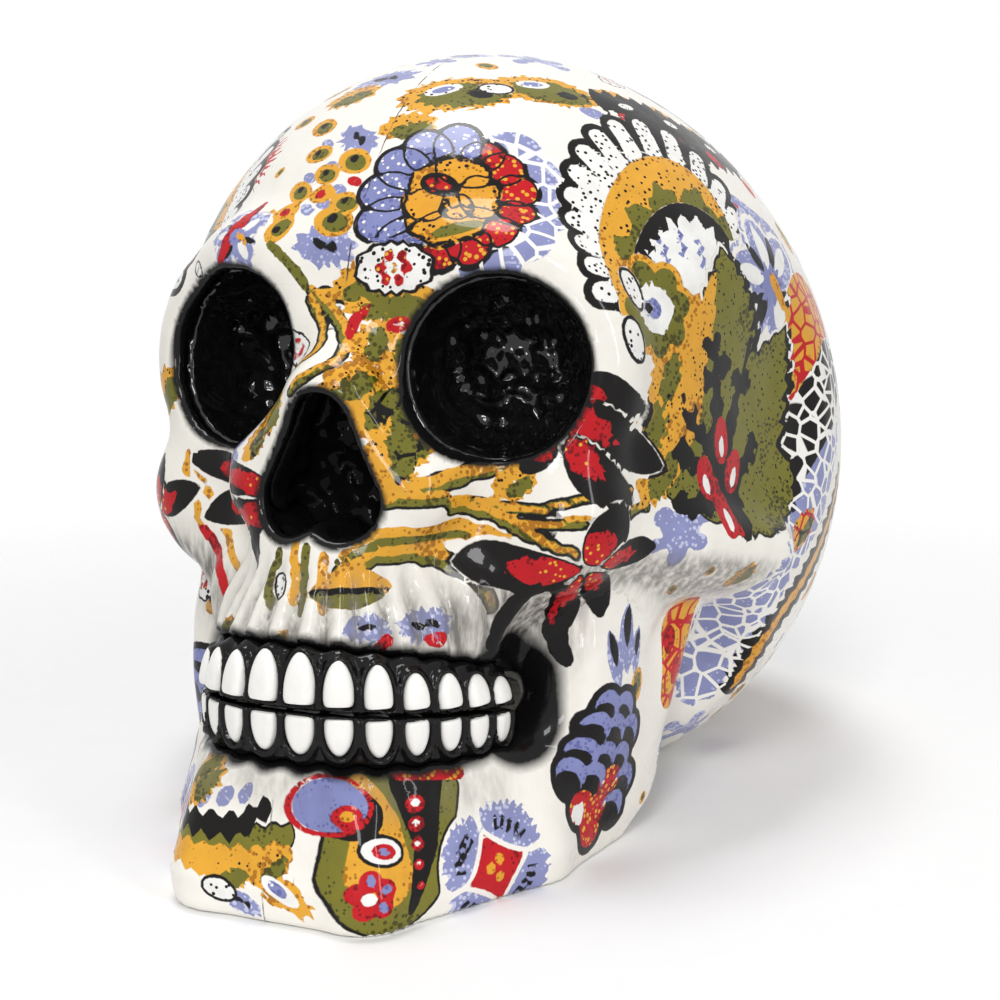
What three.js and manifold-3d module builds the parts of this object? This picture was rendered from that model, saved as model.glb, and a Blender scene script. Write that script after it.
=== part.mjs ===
// A sugar skull ornament: cranium, fixed jaw, black eye sockets, nose and gums, and set teeth.
// Millimetres, +Z up. The face looks along -Y and the skull stands on Z = 0.

import * as THREE from 'three';
import { mergeVertices } from 'three/addons/utils/BufferGeometryUtils.js';
import Module from 'manifold-3d';

// Gap round a seated piece, and how fine the meshes are
const clearance = 0.3;
const faceFacet = 4.5;
const vaultFacet = 12;
const jawFacet = 5;
const weld = 0.05;

// Braincase: an egg that leans back and is cut flat where it rests
const brainWidth = 111;
const brainLength = 135.6;
const brainDepth = 113.2;
const brainLean = 46.8;
const brainCentreY = 12.8;
const brainCentreZ = 55.7;
const templeHollow = 1.2;
const earHollow = 7;
const restFrontY = 5;
const undersideRise = 40;

// Eye sockets
const eyeSpacing = 41.6;
const eyeHeight = 73.2;
const eyeFront = -43.4;
const socketWidth = 24.8;
const socketTall = 24.8;
const socketDepth = 21;
const socketTurn = 14;
const socketTip = 7;
const socketWall = 1.2;
const rimRadius = 4.2;
const rimOut = 1.3;

// Nose
const noseTop = 70;
const noseBase = 50.6;
const noseWidth = 17.8;
const noseFront = -59;
const nosePocket = 15;
const noseWall = 1.2;

// Cheekbones and the arches behind them
const cheekRadius = 8.4;
const cheekTall = 19;
const cheekDrop = 21;
const archRadius = 4.4;
const archRootRadius = 3.6;
const archRootY = -6;
const archRootZ = 42.5;

// Dental arch: a superellipse seen from above, on a bite plane that falls to the back
const biteWidth = 47.2;
const biteLength = 33;
const biteBackY = -37;
const biteHeight = 29.1;
const biteFall = 0.165;
const squareness = 2.2;

// Teeth, counted from the middle of the face
const teethPerSide = 7;
const toothPitch = 5.6;
const toothWidths = [4.8, 4.5, 4.3, 4.2, 4.3, 4.6, 4.4];
const upperHeights = [7.4, 6.6, 6.3, 5.2, 5.1, 4.7, 4.0];
const lowerHeights = [5.8, 5.6, 5.6, 5.3, 4.9, 4.9, 4.5];
const toothDepth = 4.6;
const toothProud = 0.7;
const biteGap = 1.5;
const upperToothTilt = 11;

// Gums
const gumTall = 8.4;
const gumThick = 8;
const gumScallop = 0.7;
const gumBead = 0.6;

// Jaw
const chinWidth = 22;
const chinFront = -74.4;
const jawWidth = 70;
const jawCornerY = -18;
const jawBodyTall = 19;
const jawThick = 13.6;
const ramusSpread = 74;
const ramusTop = 42;
const ramusTopY = -7;
const ramusThick = 11;

// Values that follow from the sizes above
const eyeX = eyeSpacing / 2;
const turnSlope = Math.tan(THREE.MathUtils.degToRad(socketTurn));
const tipSlope = Math.tan(THREE.MathUtils.degToRad(socketTip));
const biteFrontY = biteBackY - biteLength;

const wasm = await Module();
wasm.setup();

const biteAt = (y) => biteHeight - biteFall * (y - biteFrontY);

// Field helpers: a form is a function of a point, negative inside
const { clamp, degToRad } = THREE.MathUtils;
const softEdge = 3;
const softBone = 5;
const softRim = 6;
const softWide = 8;
const softHollow = 10;
const midlineRound = 0.7;

function join(a, b, soft) {
  const share = clamp(0.5 + (0.5 * (b - a)) / soft, 0, 1);
  return b + (a - b) * share - soft * share * (1 - share);
}

function common(a, b, soft) {
  return -join(-a, -b, soft);
}

function ellipsoid(centre, radii, lean = 0) {
  const cos = Math.cos(degToRad(lean));
  const sin = Math.sin(degToRad(lean));
  return (x, y, z) => {
    const dy = y - centre[1];
    const dz = z - centre[2];
    const q = [x - centre[0], dy * cos - dz * sin, dz * cos + dy * sin];
    const near = Math.hypot(q[0] / radii[0], q[1] / radii[1], q[2] / radii[2]);
    const steep = Math.hypot(q[0] / radii[0] ** 2, q[1] / radii[1] ** 2, q[2] / radii[2] ** 2);
    return (near * (near - 1)) / (steep + 1e-9);
  };
}

function taperedBar(start, end, startRadius, endRadius = startRadius) {
  const axis = new THREE.Line3(new THREE.Vector3(...start), new THREE.Vector3(...end));
  const point = new THREE.Vector3();
  const foot = new THREE.Vector3();
  return (x, y, z) => {
    point.set(x, y, z);
    const along = axis.closestPointToPointParameter(point, true);
    axis.at(along, foot);
    return foot.distanceTo(point) - (startRadius + (endRadius - startRadius) * along);
  };
}

// Upright horseshoe that follows the dental arch, drawn in by an inset
function horseshoe(x, y, inset) {
  const half = Math.max(biteWidth / 2 - inset, 5);
  const length = Math.max(biteLength - inset, 8);
  const across = Math.abs(x) / half;
  const forward = Math.max(biteBackY - y, 0) / length;
  const sum = across ** squareness + forward ** squareness + 1e-9;
  const reach = sum ** (1 / squareness);
  const slope = Math.hypot(across ** (squareness - 1) / half, forward ** (squareness - 1) / length);
  return (reach - 1) / (slope * sum ** (1 / squareness - 1) + 1e-6);
}

// Cranium: braincase, brow and eye rims, cheekbones, nose and upper jaw
const braincase = ellipsoid(
  [0, brainCentreY, brainCentreZ],
  [brainWidth / 2, brainLength / 2, brainDepth / 2],
  brainLean,
);

// Half width of the braincase at one place on its side
function brainSide(y, z) {
  let inside = 0;
  let outside = brainWidth;
  for (let step = 0; step < 30; step += 1) {
    const middle = (inside + outside) / 2;
    if (braincase(middle, y, z) < 0) inside = middle;
    else outside = middle;
  }
  return inside;
}

// Cheekbone and its arch to the side of the braincase
const cheekX = eyeX + 8.7;
const cheekY = eyeFront + 5.9;
const cheekZ = eyeHeight - cheekDrop;
const archStart = [cheekX + 1.5, cheekY + 3, cheekZ - 2.5];
const archRootX = brainSide(archRootY, archRootZ) - 0.5;
const archBow = 2.6;
const archSag = 0.8;
const archMiddle = [
  (cheekX + archRootX) / 2 + archBow,
  (cheekY + archRootY) / 2,
  (cheekZ + archRootZ) / 2 - archSag,
];
const cheek = ellipsoid([cheekX, cheekY, cheekZ], [cheekRadius, cheekRadius, cheekTall / 2]);
const archFront = taperedBar(archStart, archMiddle, archRadius + 0.8, archRadius);
const archRear = taperedBar(archMiddle, [archRootX, archRootY, archRootZ], archRadius, archRootRadius);

// Brow, nose bridge and the bars round the nose and the inner side of the eye
const browZ = eyeHeight + socketTall / 2 + 2;
const browInner = [2, eyeFront + 5, browZ];
const browOuter = [eyeX, eyeFront + 5.8, browZ - 0.5];
const brow = taperedBar(browInner, browOuter, 5.5, 5);
const bridgeTop = [0, eyeFront + 3, eyeHeight + 8];
const bridgeTip = [0, noseFront + 5, noseTop + 0.8];
const nasalBones = taperedBar(bridgeTop, bridgeTip, 5.4, 4.6);
const noseSideTop = [2.5, noseFront + 6, noseTop - 1.3];
const noseSideFoot = [noseWidth / 2 + 1.7, noseFront + 7.5, noseBase + 4.9];
const noseSide = taperedBar(noseSideTop, noseSideFoot, 4.5, 5.8);
const sillMiddle = [0, noseFront + 2.4, noseBase - 2.2];
const sillEnd = [noseWidth / 2 - 1.5, noseFront + 4.6, noseBase - 1];
const noseSill = taperedBar(sillMiddle, sillEnd, 3.4, 3.6);
const innerRimTop = [7, eyeFront + 4, eyeHeight + 6];
const innerRimFoot = [12, eyeFront - 4.2, eyeHeight - 15];
const innerRim = taperedBar(innerRimTop, innerRimFoot, 4, 5.8);
const buttressTop = [24, cheekY - 3, cheekZ - 6];
const buttressFoot = [17, cheekY - 9, cheekZ - 12];
const buttress = taperedBar(buttressTop, buttressFoot, 6, 5.5);

// Hollows at the temple and the ear, and the base between the two sides of the jaw
const templeY = -19;
const templeZ = eyeHeight - 8;
const templeRadii = [8, 25, 19];
const templeX = brainSide(templeY, templeZ) + templeRadii[0] - templeHollow;
const temple = ellipsoid([templeX, templeY, templeZ], templeRadii);
const earY = jawCornerY + 4;
const earZ = 20;
const earRadii = [14, 17, 16];
const earX = brainSide(earY, earZ) + earRadii[0] - earHollow;
const ear = ellipsoid([earX, earY, earZ], earRadii);
const skullBase = ellipsoid([0, -15, 45], [33, 34, 24]);
const riseCos = Math.cos(degToRad(undersideRise));
const riseSin = Math.sin(degToRad(undersideRise));
const underside = (y, z) => z * riseCos + (y - restFrontY) * riseSin;

function eyeRim(x, y, z) {
  const across = (x - eyeX) / (socketWidth / 2 + rimOut);
  const upward = (z - eyeHeight) / (socketTall / 2 + rimOut);
  const outward = (Math.hypot(across, upward) - 1) * ((socketWidth + socketTall) / 4 + rimOut);
  const mouth = eyeFront + turnSlope * (x - eyeX) + tipSlope * (z - eyeHeight);
  return Math.hypot(outward, y - mouth - rimRadius + 0.3) - rimRadius;
}

function upperRidge(x, y, z) {
  const ridgeTall = 24;
  const ridgeBackY = -12;
  const above = z - biteAt(y);
  const wall = horseshoe(x, y, 2.9 + 0.5 * Math.max(above - gumTall, 0));
  const band = common(wall, Math.max(gumTall - 1 - above, above - ridgeTall), softEdge);
  return common(band, y - ridgeBackY, softEdge);
}

function cranium(x, y, z) {
  const side = Math.hypot(x, midlineRound);
  let form = common(braincase(side, y, z), -temple(side, y, z), softHollow);
  form = common(form, -ear(side, y, z), softRim);
  form = common(form, -underside(y, z), softHollow);
  form = join(form, eyeRim(side, y, z), softRim);
  form = join(form, brow(side, y, z), softRim);
  form = join(form, cheek(side, y, z), softBone);
  form = join(form, Math.min(archFront(side, y, z), archRear(side, y, z)), softBone);
  form = join(form, nasalBones(side, y, z), softBone);
  form = join(form, noseSide(side, y, z), softBone);
  form = join(form, noseSill(side, y, z), softBone);
  form = join(form, innerRim(side, y, z), softBone);
  form = join(form, upperRidge(side, y, z), softRim);
  form = join(form, buttress(side, y, z), softWide);
  return join(form, skullBase(side, y, z), softWide);
}

// Jaw: a tapered wall round the chin, the ridge that carries the gum, and the two upright rami
const wallMiddle = jawThick / 2;
const jawLine = [
  [0, chinFront + wallMiddle],
  [chinWidth / 2, chinFront + wallMiddle + 0.2],
  [jawWidth / 2 - wallMiddle - 3.5, jawCornerY - 25],
  [jawWidth / 2 - wallMiddle, jawCornerY],
];
const jawCornerX = jawWidth / 2 - wallMiddle;
const ramusX = ramusSpread / 2;
const ramusHalf = ramusThick / 2;
const rearFoot = [jawCornerX + 0.5, jawCornerY + 0.5, 11];
const rearTop = [ramusX, ramusTopY, ramusTop];
const ramusRear = taperedBar(rearFoot, rearTop, ramusHalf + 0.3, ramusHalf - 0.5);
const frontFoot = [jawCornerX - 2, jawCornerY - 18, 14];
const frontTop = [ramusX - 10.5, ramusTopY - 24, ramusTop];
const ramusFront = taperedBar(frontFoot, frontTop, ramusHalf, ramusHalf - 1);
const plateCentre = [(jawCornerX + ramusX) / 2 - 1, jawCornerY - 5, 26];
const ramusPlate = ellipsoid(plateCentre, [ramusHalf - 0.5, 15, 19]);

// The wall is fullest a little above the floor, leans in above and curls under below
const fullestZ = 5;
const leanIn = 0.32;
const curlUnder = 0.03;
const floorCut = -8;
const cornerLift = 0.8;

function jawBody(x, y, z) {
  const lean = leanIn * clamp(z - fullestZ, 0, jawBodyTall - fullestZ);
  const curl = curlUnder * clamp(fullestZ - z, 0, 8) ** 2;
  let away = Infinity;
  for (let i = 1; i < jawLine.length; i += 1) {
    const [ax, ay] = jawLine[i - 1];
    const [bx, by] = jawLine[i];
    const run = (bx - ax) ** 2 + (by - ay) ** 2;
    const along = clamp(((x - ax) * (bx - ax) + (y - ay) * (by - ay)) / run, 0, 1);
    const leg = Math.hypot(x - ax - along * (bx - ax), y - ay - along * (by - ay));
    away = i === 1 ? leg : join(away, leg, 2);
  }
  return common(away - wallMiddle + lean + curl, Math.max(z - jawBodyTall, floorCut - z), softEdge);
}

function lowerRidge(x, y, z) {
  const ridgeTall = 19;
  const ridgeBackY = -22;
  const below = biteAt(y) - z;
  const outer = horseshoe(x, y, 2 + 0.2 * Math.max(below - gumTall, 0));
  const hollow = horseshoe(x, y, gumThick + 5);
  const band = common(outer, Math.max(gumTall - 1 - below, below - ridgeTall), softEdge);
  return common(common(band, -hollow, softEdge), y - ridgeBackY, softEdge);
}

function jaw(x, y, z) {
  const side = Math.hypot(x, midlineRound);
  let form = join(jawBody(side, y, z), lowerRidge(side, y, z), softRim);
  form = join(form, ramusRear(side, y, z), softRim);
  form = join(form, ramusFront(side, y, z), softRim);
  form = join(form, ramusPlate(side, y, z), softRim);
  const corner = (cornerLift * (y - jawCornerY + 4) - z) / Math.hypot(1, cornerLift);
  return common(form, corner, softEdge);
}

// Grid lines along one axis: even steps over the fine stretch, then wider and wider ones
function gridLines([low, high], [fineLow, fineHigh], fine, coarse) {
  const widen = 1.3;
  const half = Math.ceil((fineHigh - fineLow) / fine / 2);
  const middle = (fineLow + fineHigh) / 2;
  const lines = Array.from({ length: 2 * half + 1 }, (unused, i) => middle + (i - half) * fine);
  for (let step = fine; lines.at(-1) < high; step = Math.min(step * widen, coarse)) {
    lines.push(lines.at(-1) + step);
  }
  for (let step = fine; lines[0] > low; step = Math.min(step * widen, coarse)) {
    lines.unshift(lines[0] - step);
  }
  return lines;
}

// Closed mesh of a field: one vertex in each grid cell that the surface crosses, pulled onto it
function skin(field, lines) {
  const count = lines.map((axis) => axis.length);
  const at = (i, j, k) => (k * count[1] + j) * count[0] + i;
  const place = (axis, index) => lines[axis][index];
  const values = new Float64Array(count[0] * count[1] * count[2]);
  for (let k = 0; k < count[2]; k += 1) {
    for (let j = 0; j < count[1]; j += 1) {
      for (let i = 0; i < count[0]; i += 1) {
        values[at(i, j, k)] = field(place(0, i), place(1, j), place(2, k));
      }
    }
  }
  const slot = new Int32Array(values.length).fill(-1);
  const positions = [];
  const corners = [0, 1, 2, 3, 4, 5, 6, 7].map((n) => [n & 1, (n >> 1) & 1, (n >> 2) & 1]);
  const edges = corners.flatMap((a, m) => corners.map((b, n) => [m, n]))
    .filter(([m, n]) => m < n && [1, 2, 4].includes(m ^ n));
  for (let k = 0; k < count[2] - 1; k += 1) {
    for (let j = 0; j < count[1] - 1; j += 1) {
      for (let i = 0; i < count[0] - 1; i += 1) {
        const v = corners.map(([a, b, c]) => values[at(i + a, j + b, k + c)]);
        const crossed = edges.filter(([m, n]) => v[m] < 0 !== v[n] < 0);
        if (crossed.length === 0) continue;
        const base = new THREE.Vector3(place(0, i), place(1, j), place(2, k));
        const cell = new THREE.Vector3(place(0, i + 1), place(1, j + 1), place(2, k + 1)).sub(base);
        const point = new THREE.Vector3();
        for (const [m, n] of crossed) {
          const share = v[m] / (v[m] - v[n]);
          const step = new THREE.Vector3(...corners[m]).lerp(new THREE.Vector3(...corners[n]), share);
          point.addScaledVector(step, 1 / crossed.length);
        }
        point.multiply(cell).add(base);
        settle(field, point, Math.min(cell.x, cell.y, cell.z));
        slot[at(i, j, k)] = positions.length / 3;
        positions.push(point.x, point.y, point.z);
      }
    }
  }
  const index = [];
  const steps = [[1, 0, 0], [0, 1, 0], [0, 0, 1]];
  for (let k = 1; k < count[2] - 1; k += 1) {
    for (let j = 1; j < count[1] - 1; j += 1) {
      for (let i = 1; i < count[0] - 1; i += 1) {
        steps.forEach(([a, b, c], axis) => {
          const here = values[at(i, j, k)] < 0;
          if (here === values[at(i + a, j + b, k + c)] < 0) return;
          const u = steps[(axis + 1) % 3];
          const w = steps[(axis + 2) % 3];
          const ring = [[0, 0], [1, 0], [1, 1], [0, 1]].map(([s, t]) =>
            slot[at(i - s * u[0] - t * w[0], j - s * u[1] - t * w[1], k - s * u[2] - t * w[2])]);
          if (!here) ring.reverse();
          index.push(ring[0], ring[1], ring[2], ring[0], ring[2], ring[3]);
        });
      }
    }
  }
  const geometry = new THREE.BufferGeometry();
  geometry.setAttribute('position', new THREE.Float32BufferAttribute(positions, 3));
  geometry.setIndex(index);
  return relaxed(field, geometry);
}

// Evens out the vertices: each goes towards its neighbours' middle and back onto the surface
function relaxed(field, geometry) {
  const pull = 0.6;
  const spots = geometry.getAttribute('position');
  const index = geometry.getIndex().array;
  const points = [];
  for (let i = 0; i < spots.count; i += 1) {
    points.push(new THREE.Vector3().fromBufferAttribute(spots, i));
  }
  const sums = points.map(() => new THREE.Vector3());
  const counts = new Uint16Array(points.length);
  for (let i = 0; i < index.length; i += 1) {
    const next = i % 3 === 2 ? i - 2 : i + 1;
    sums[index[i]].add(points[index[next]]);
    counts[index[i]] += 1;
  }
  points.forEach((point, i) => {
    point.lerp(sums[i].divideScalar(counts[i]), pull);
    settle(field, point, Infinity);
    spots.setXYZ(i, point.x, point.y, point.z);
  });
  return geometry;
}

// Moves a point along the field's slope until it lies on the surface, at most one cell away
function settle(field, point, cell) {
  const start = point.clone();
  const reach = 0.05;
  for (let round = 0; round < 3; round += 1) {
    const { x, y, z } = point;
    const value = field(x, y, z);
    const slope = new THREE.Vector3(
      field(x + reach, y, z) - value,
      field(x, y + reach, z) - value,
      field(x, y, z + reach) - value,
    ).divideScalar(reach);
    point.addScaledVector(slope, -value / Math.max(slope.lengthSq(), 0.25));
  }
  if (point.distanceTo(start) > cell / 2) point.copy(start);
}

// Solids for cutting and joining
function solidOf(geometry) {
  const bare = geometry.clone();
  for (const name of Object.keys(bare.attributes)) {
    if (name !== 'position') bare.deleteAttribute(name);
  }
  const merged = mergeVertices(bare, 1e-4);
  const vertProperties = Float32Array.from(merged.getAttribute('position').array);
  const corners = merged.getIndex().array;
  const whole = [];
  for (let i = 0; i < corners.length; i += 3) {
    const [a, b, c] = [corners[i], corners[i + 1], corners[i + 2]];
    if (a !== b && b !== c && c !== a) whole.push(a, b, c);
  }
  const triVerts = Uint32Array.from(whole);
  return new wasm.Manifold(new wasm.Mesh({ numProp: 3, vertProperties, triVerts, tolerance: weld }));
}

function geometryOf(solid) {
  const mesh = solid.getMesh();
  const geometry = new THREE.BufferGeometry();
  geometry.setAttribute('position', new THREE.BufferAttribute(Float32Array.from(mesh.vertProperties), 3));
  geometry.setIndex(new THREE.BufferAttribute(Uint32Array.from(mesh.triVerts), 1));
  return geometry;
}

function largest(solid) {
  return solid.decompose().reduce((best, piece) => (piece.volume() > best.volume() ? piece : best));
}

// Dental arch as a curve from the right end to the left end, at the bite plane
class BiteCurve extends THREE.Curve {
  getPoint(t, target = new THREE.Vector3()) {
    const angle = Math.PI * (t - 0.5);
    const across = Math.sign(angle) * Math.abs(Math.sin(angle)) ** (2 / squareness);
    const forward = Math.cos(angle) ** (2 / squareness);
    const y = biteBackY - biteLength * Math.max(forward, 0);
    return target.set((biteWidth / 2) * across, y, biteAt(y));
  }
}

const biteCurve = new BiteCurve();
biteCurve.arcLengthDivisions = 800;
const biteSpan = biteCurve.getLength();

// Place on the arch at a distance from the middle, with the way out of the mouth
function archPlace(distance) {
  const u = clamp(0.5 + distance / biteSpan, 0.001, 0.999);
  const point = biteCurve.getPointAt(u);
  const tangent = biteCurve.getTangentAt(u).setZ(0).normalize();
  return { point, out: new THREE.Vector3(tangent.y, -tangent.x, 0) };
}

// Tooth: a squared egg with a flat biting edge and a narrow root, its crown pointing to -Z
function toothGeometry(width, tall, depth) {
  const geometry = new THREE.SphereGeometry(1, 7, 5).rotateX(Math.PI / 2);
  const spots = geometry.getAttribute('position');
  const squared = (value, power) => Math.sign(value) * Math.abs(value) ** power;
  for (let i = 0; i < spots.count; i += 1) {
    const z = squared(spots.getZ(i), 0.8);
    const belly = 1 - 0.3 * clamp(z, 0, 1) ** 1.5;
    const back = 1 - 0.3 * clamp(spots.getY(i), 0, 1);
    const x = squared(spots.getX(i), 0.75) * belly * back;
    const y = squared(spots.getY(i), 0.75) * (1 - 0.25 * clamp(z, 0, 1));
    spots.setXYZ(i, (x * width) / 2, (y * depth) / 2, (Math.max(z, -0.9) * tall) / 2);
  }
  return geometry;
}

const toothMaterial = new THREE.MeshStandardMaterial({ color: 0xf4f2ec, roughness: 0.45 });
const enamelMaterial = new THREE.MeshStandardMaterial({ color: 0x0b0b0c, roughness: 0.2 });
const printMaterial = new THREE.MeshStandardMaterial({ color: 0xf1eee6, roughness: 0.25 });

function toothAt(row, side, number) {
  const upper = row === 'upper';
  const { point, out } = archPlace(side * (number - 0.5) * toothPitch);
  const tall = (upper ? upperHeights : lowerHeights)[number - 1];
  const way = upper ? 1 : -1;
  const seat = new THREE.Object3D();
  seat.up.set(0, 0, 1);
  seat.position.copy(point).addScaledVector(out, toothProud - toothDepth / 2);
  seat.position.z += way * (biteGap / 2 + tall * 0.45);
  seat.rotation.set(upper ? 0 : Math.PI, 0, Math.atan2(out.x, -out.y), 'ZXY');
  if (upper) seat.rotateX(degToRad(-upperToothTilt));
  return { seat, width: toothWidths[number - 1], tall };
}

const teeth = [];
for (const row of ['upper', 'lower']) {
  for (const [side, hand] of [[1, 'left'], [-1, 'right']]) {
    for (let number = 1; number <= teethPerSide; number += 1) {
      teeth.push({ name: `${row}_${hand}_tooth_${number}`, row, ...toothAt(row, side, number) });
    }
  }
}

function toothSolid(tooth, grow) {
  const geometry = toothGeometry(tooth.width + 2 * grow, tooth.tall + 2 * grow, toothDepth + 2 * grow);
  if (tooth.row === 'lower') geometry.rotateZ(Math.PI);
  tooth.seat.updateMatrix();
  return solidOf(geometry.applyMatrix4(tooth.seat.matrix));
}

// Gum: a band lofted round the arch, scalloped over each tooth, above or below the bite plane
function gumSolid(row, grow) {
  const way = row === 'upper' ? 1 : -1;
  const lean = row === 'upper' ? Math.tan(degToRad(upperToothTilt)) : 0;
  const half = (teethPerSide + 0.25) * toothPitch;
  const stations = 4 * teethPerSide + 2;
  const positions = [];
  for (let s = 0; s <= stations; s += 1) {
    const last = s === 0 || s === stations;
    const steps = s - stations / 2;
    const distance = last ? Math.sign(steps) * (half + grow) : (steps * toothPitch) / 2;
    const { point, out } = archPlace(distance);
    const swell = 0.5 - 0.5 * Math.cos((2 * Math.PI * distance) / toothPitch);
    const edge = gumTall - gumScallop * (1 - swell);
    const section = [
      [-1.4 + grow, clearance - grow],
      [-0.9 + grow + gumBead * swell - lean * 2, gumTall * 0.4],
      [-0.6 + grow + gumBead * swell - lean * 5, gumTall * 0.75],
      [-1.4 + grow - lean * 8, edge + grow],
      [-gumThick - grow, gumTall + grow],
      [-gumThick - grow, clearance - grow],
    ];
    for (const [offset, rise] of section) {
      const spot = point.clone().addScaledVector(out, offset);
      positions.push(spot.x, spot.y, spot.z + way * rise);
    }
  }
  const points = positions.length / 3 / (stations + 1);
  const index = [];
  const face = (a, b, c) => (way > 0 ? index.push(a, b, c) : index.push(a, c, b));
  for (let s = 0; s < stations; s += 1) {
    for (let p = 0; p < points; p += 1) {
      const a = s * points + p;
      const b = s * points + ((p + 1) % points);
      face(a, a + points, b + points);
      face(a, b + points, b);
    }
  }
  for (let p = 1; p < points - 1; p += 1) {
    face(0, p, p + 1);
    face(stations * points, stations * points + p + 1, stations * points + p);
  }
  const geometry = new THREE.BufferGeometry();
  geometry.setAttribute('position', new THREE.Float32BufferAttribute(positions, 3));
  geometry.setIndex(index);
  return solidOf(geometry);
}

// Eye socket: a bowl turned about its own axis, open past the rim
function socketSolid(side, grow) {
  const radius = socketWidth / 2 + grow;
  const depth = socketDepth + grow;
  const mouth = 14;
  const profile = [new THREE.Vector2(0, -mouth), new THREE.Vector2(radius + 0.5, -mouth)];
  const rings = 4;
  for (let ring = 0; ring <= rings; ring += 1) {
    const turn = (Math.PI / 2) * (ring / rings);
    profile.push(new THREE.Vector2(radius * Math.cos(turn) ** 0.8, depth * Math.sin(turn)));
  }
  profile[profile.length - 1].x = 0;
  const geometry = new THREE.LatheGeometry(profile, 18);
  geometry.scale(1, 1, (socketTall / 2 + grow) / radius);
  geometry.rotateX(-degToRad(socketTip));
  geometry.rotateZ(side * degToRad(socketTurn));
  geometry.translate(side * eyeX, eyeFront, eyeHeight);
  return solidOf(geometry);
}

// Nose: an upside-down heart, extruded into the face with a rounded back
function noseSolid(grow) {
  const half = noseWidth / 2 + grow;
  const top = noseTop + grow;
  const base = noseBase - grow;
  const tall = top - base;
  const shape = new THREE.Shape();
  shape.moveTo(0, base + 1.6);
  shape.bezierCurveTo(half * 0.25, base - 0.8, half * 0.95, base - 0.6, half, base + tall * 0.24);
  shape.bezierCurveTo(half, base + tall * 0.6, half * 0.5, top, 0, top);
  shape.bezierCurveTo(-half * 0.5, top, -half, base + tall * 0.6, -half, base + tall * 0.24);
  shape.bezierCurveTo(-half * 0.95, base - 0.6, -half * 0.25, base - 0.8, 0, base + 1.6);
  const round = 3;
  const geometry = new THREE.ExtrudeGeometry(shape, {
    depth: nosePocket + 12,
    curveSegments: 5,
    bevelSegments: 2,
    bevelThickness: round,
    bevelSize: round,
    bevelOffset: -round,
  });
  geometry.rotateX(Math.PI / 2);
  geometry.translate(0, noseFront + nosePocket + grow - round, 0);
  return solidOf(geometry);
}

// The floor that the skull is cut flat on
const floorBox = new THREE.BoxGeometry(400, 400, 60).translate(0, 0, -30);
const floorSolid = solidOf(floorBox);

const margin = 10;
const reachX = brainWidth / 2 + margin;
const reachBack = brainCentreY + brainLength / 2 + margin;
const reachTop = brainCentreZ + brainLength / 2 + margin;
const cheekReach = cheekX + cheekRadius;
const browTop = browZ + margin / 2;
const headLines = [
  gridLines([-reachX, reachX], [-cheekReach, cheekReach], faceFacet, vaultFacet),
  gridLines([biteFrontY - margin, reachBack], [biteFrontY, jawCornerY + margin], faceFacet, vaultFacet),
  gridLines([-2 * margin, reachTop], [biteHeight - margin / 2, browTop], faceFacet, vaultFacet),
];
const headSolid = solidOf(skin(cranium, headLines)).subtract(floorSolid);
const headSeat = solidOf(skin((x, y, z) => cranium(x, y, z) - clearance, headLines));

const linings = [
  ['left_eye_socket', (grow) => socketSolid(1, grow), socketWall],
  ['right_eye_socket', (grow) => socketSolid(-1, grow), socketWall],
  ['nasal_cavity', noseSolid, noseWall],
].map(([name, bowl, wall]) => ({
  name,
  solid: largest(bowl(wall).intersect(headSolid).subtract(bowl(0))),
  seat: bowl(wall + clearance),
}));

const cutTeeth = (solid, row) =>
  teeth.filter((tooth) => tooth.row === row)
    .reduce((rest, tooth) => rest.subtract(toothSolid(tooth, clearance)), solid);

const craniumSolid = linings.reduce((rest, lining) => rest.subtract(lining.seat), headSolid)
  .subtract(gumSolid('upper', clearance));
const jawReach = Math.max(jawWidth, ramusSpread) / 2 + margin;
const jawLines = [
  [-jawReach, jawReach],
  [chinFront - margin, ramusTopY + 2 * margin],
  [-2 * margin, ramusTop + 2 * margin],
].map((span) => gridLines(span, span, jawFacet, jawFacet));
const jawSolid = solidOf(skin(jaw, jawLines))
  .subtract(floorSolid)
  .subtract(headSeat)
  .subtract(gumSolid('lower', clearance));

// The object: each piece under its own name
const skull = new THREE.Group();

function addPiece(name, geometry, material) {
  geometry.computeVertexNormals();
  const piece = new THREE.Mesh(geometry, material);
  piece.name = name;
  skull.add(piece);
  return piece;
}

addPiece('cranium', geometryOf(largest(craniumSolid)), printMaterial.clone());
addPiece('jaw', geometryOf(largest(jawSolid)), printMaterial.clone());
for (const lining of linings) {
  addPiece(lining.name, geometryOf(lining.solid), enamelMaterial.clone());
}
for (const row of ['upper', 'lower']) {
  const gum = largest(cutTeeth(gumSolid(row, 0), row));
  addPiece(`${row}_gum`, geometryOf(gum), enamelMaterial.clone());
}
for (const tooth of teeth) {
  const geometry = toothGeometry(tooth.width, tooth.tall, toothDepth);
  if (tooth.row === 'lower') geometry.rotateZ(Math.PI);
  const piece = addPiece(tooth.name, geometryOf(solidOf(geometry)), toothMaterial.clone());
  piece.position.copy(tooth.seat.position);
  piece.quaternion.copy(tooth.seat.quaternion);
}

export default skull;
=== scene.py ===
# Dresses the sugar skull: fine bone forms, black linings, gums, teeth and the printed folk flowers.
import math
from functools import partial

import bpy
import numpy as np
from mathutils import Matrix, Vector


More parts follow.
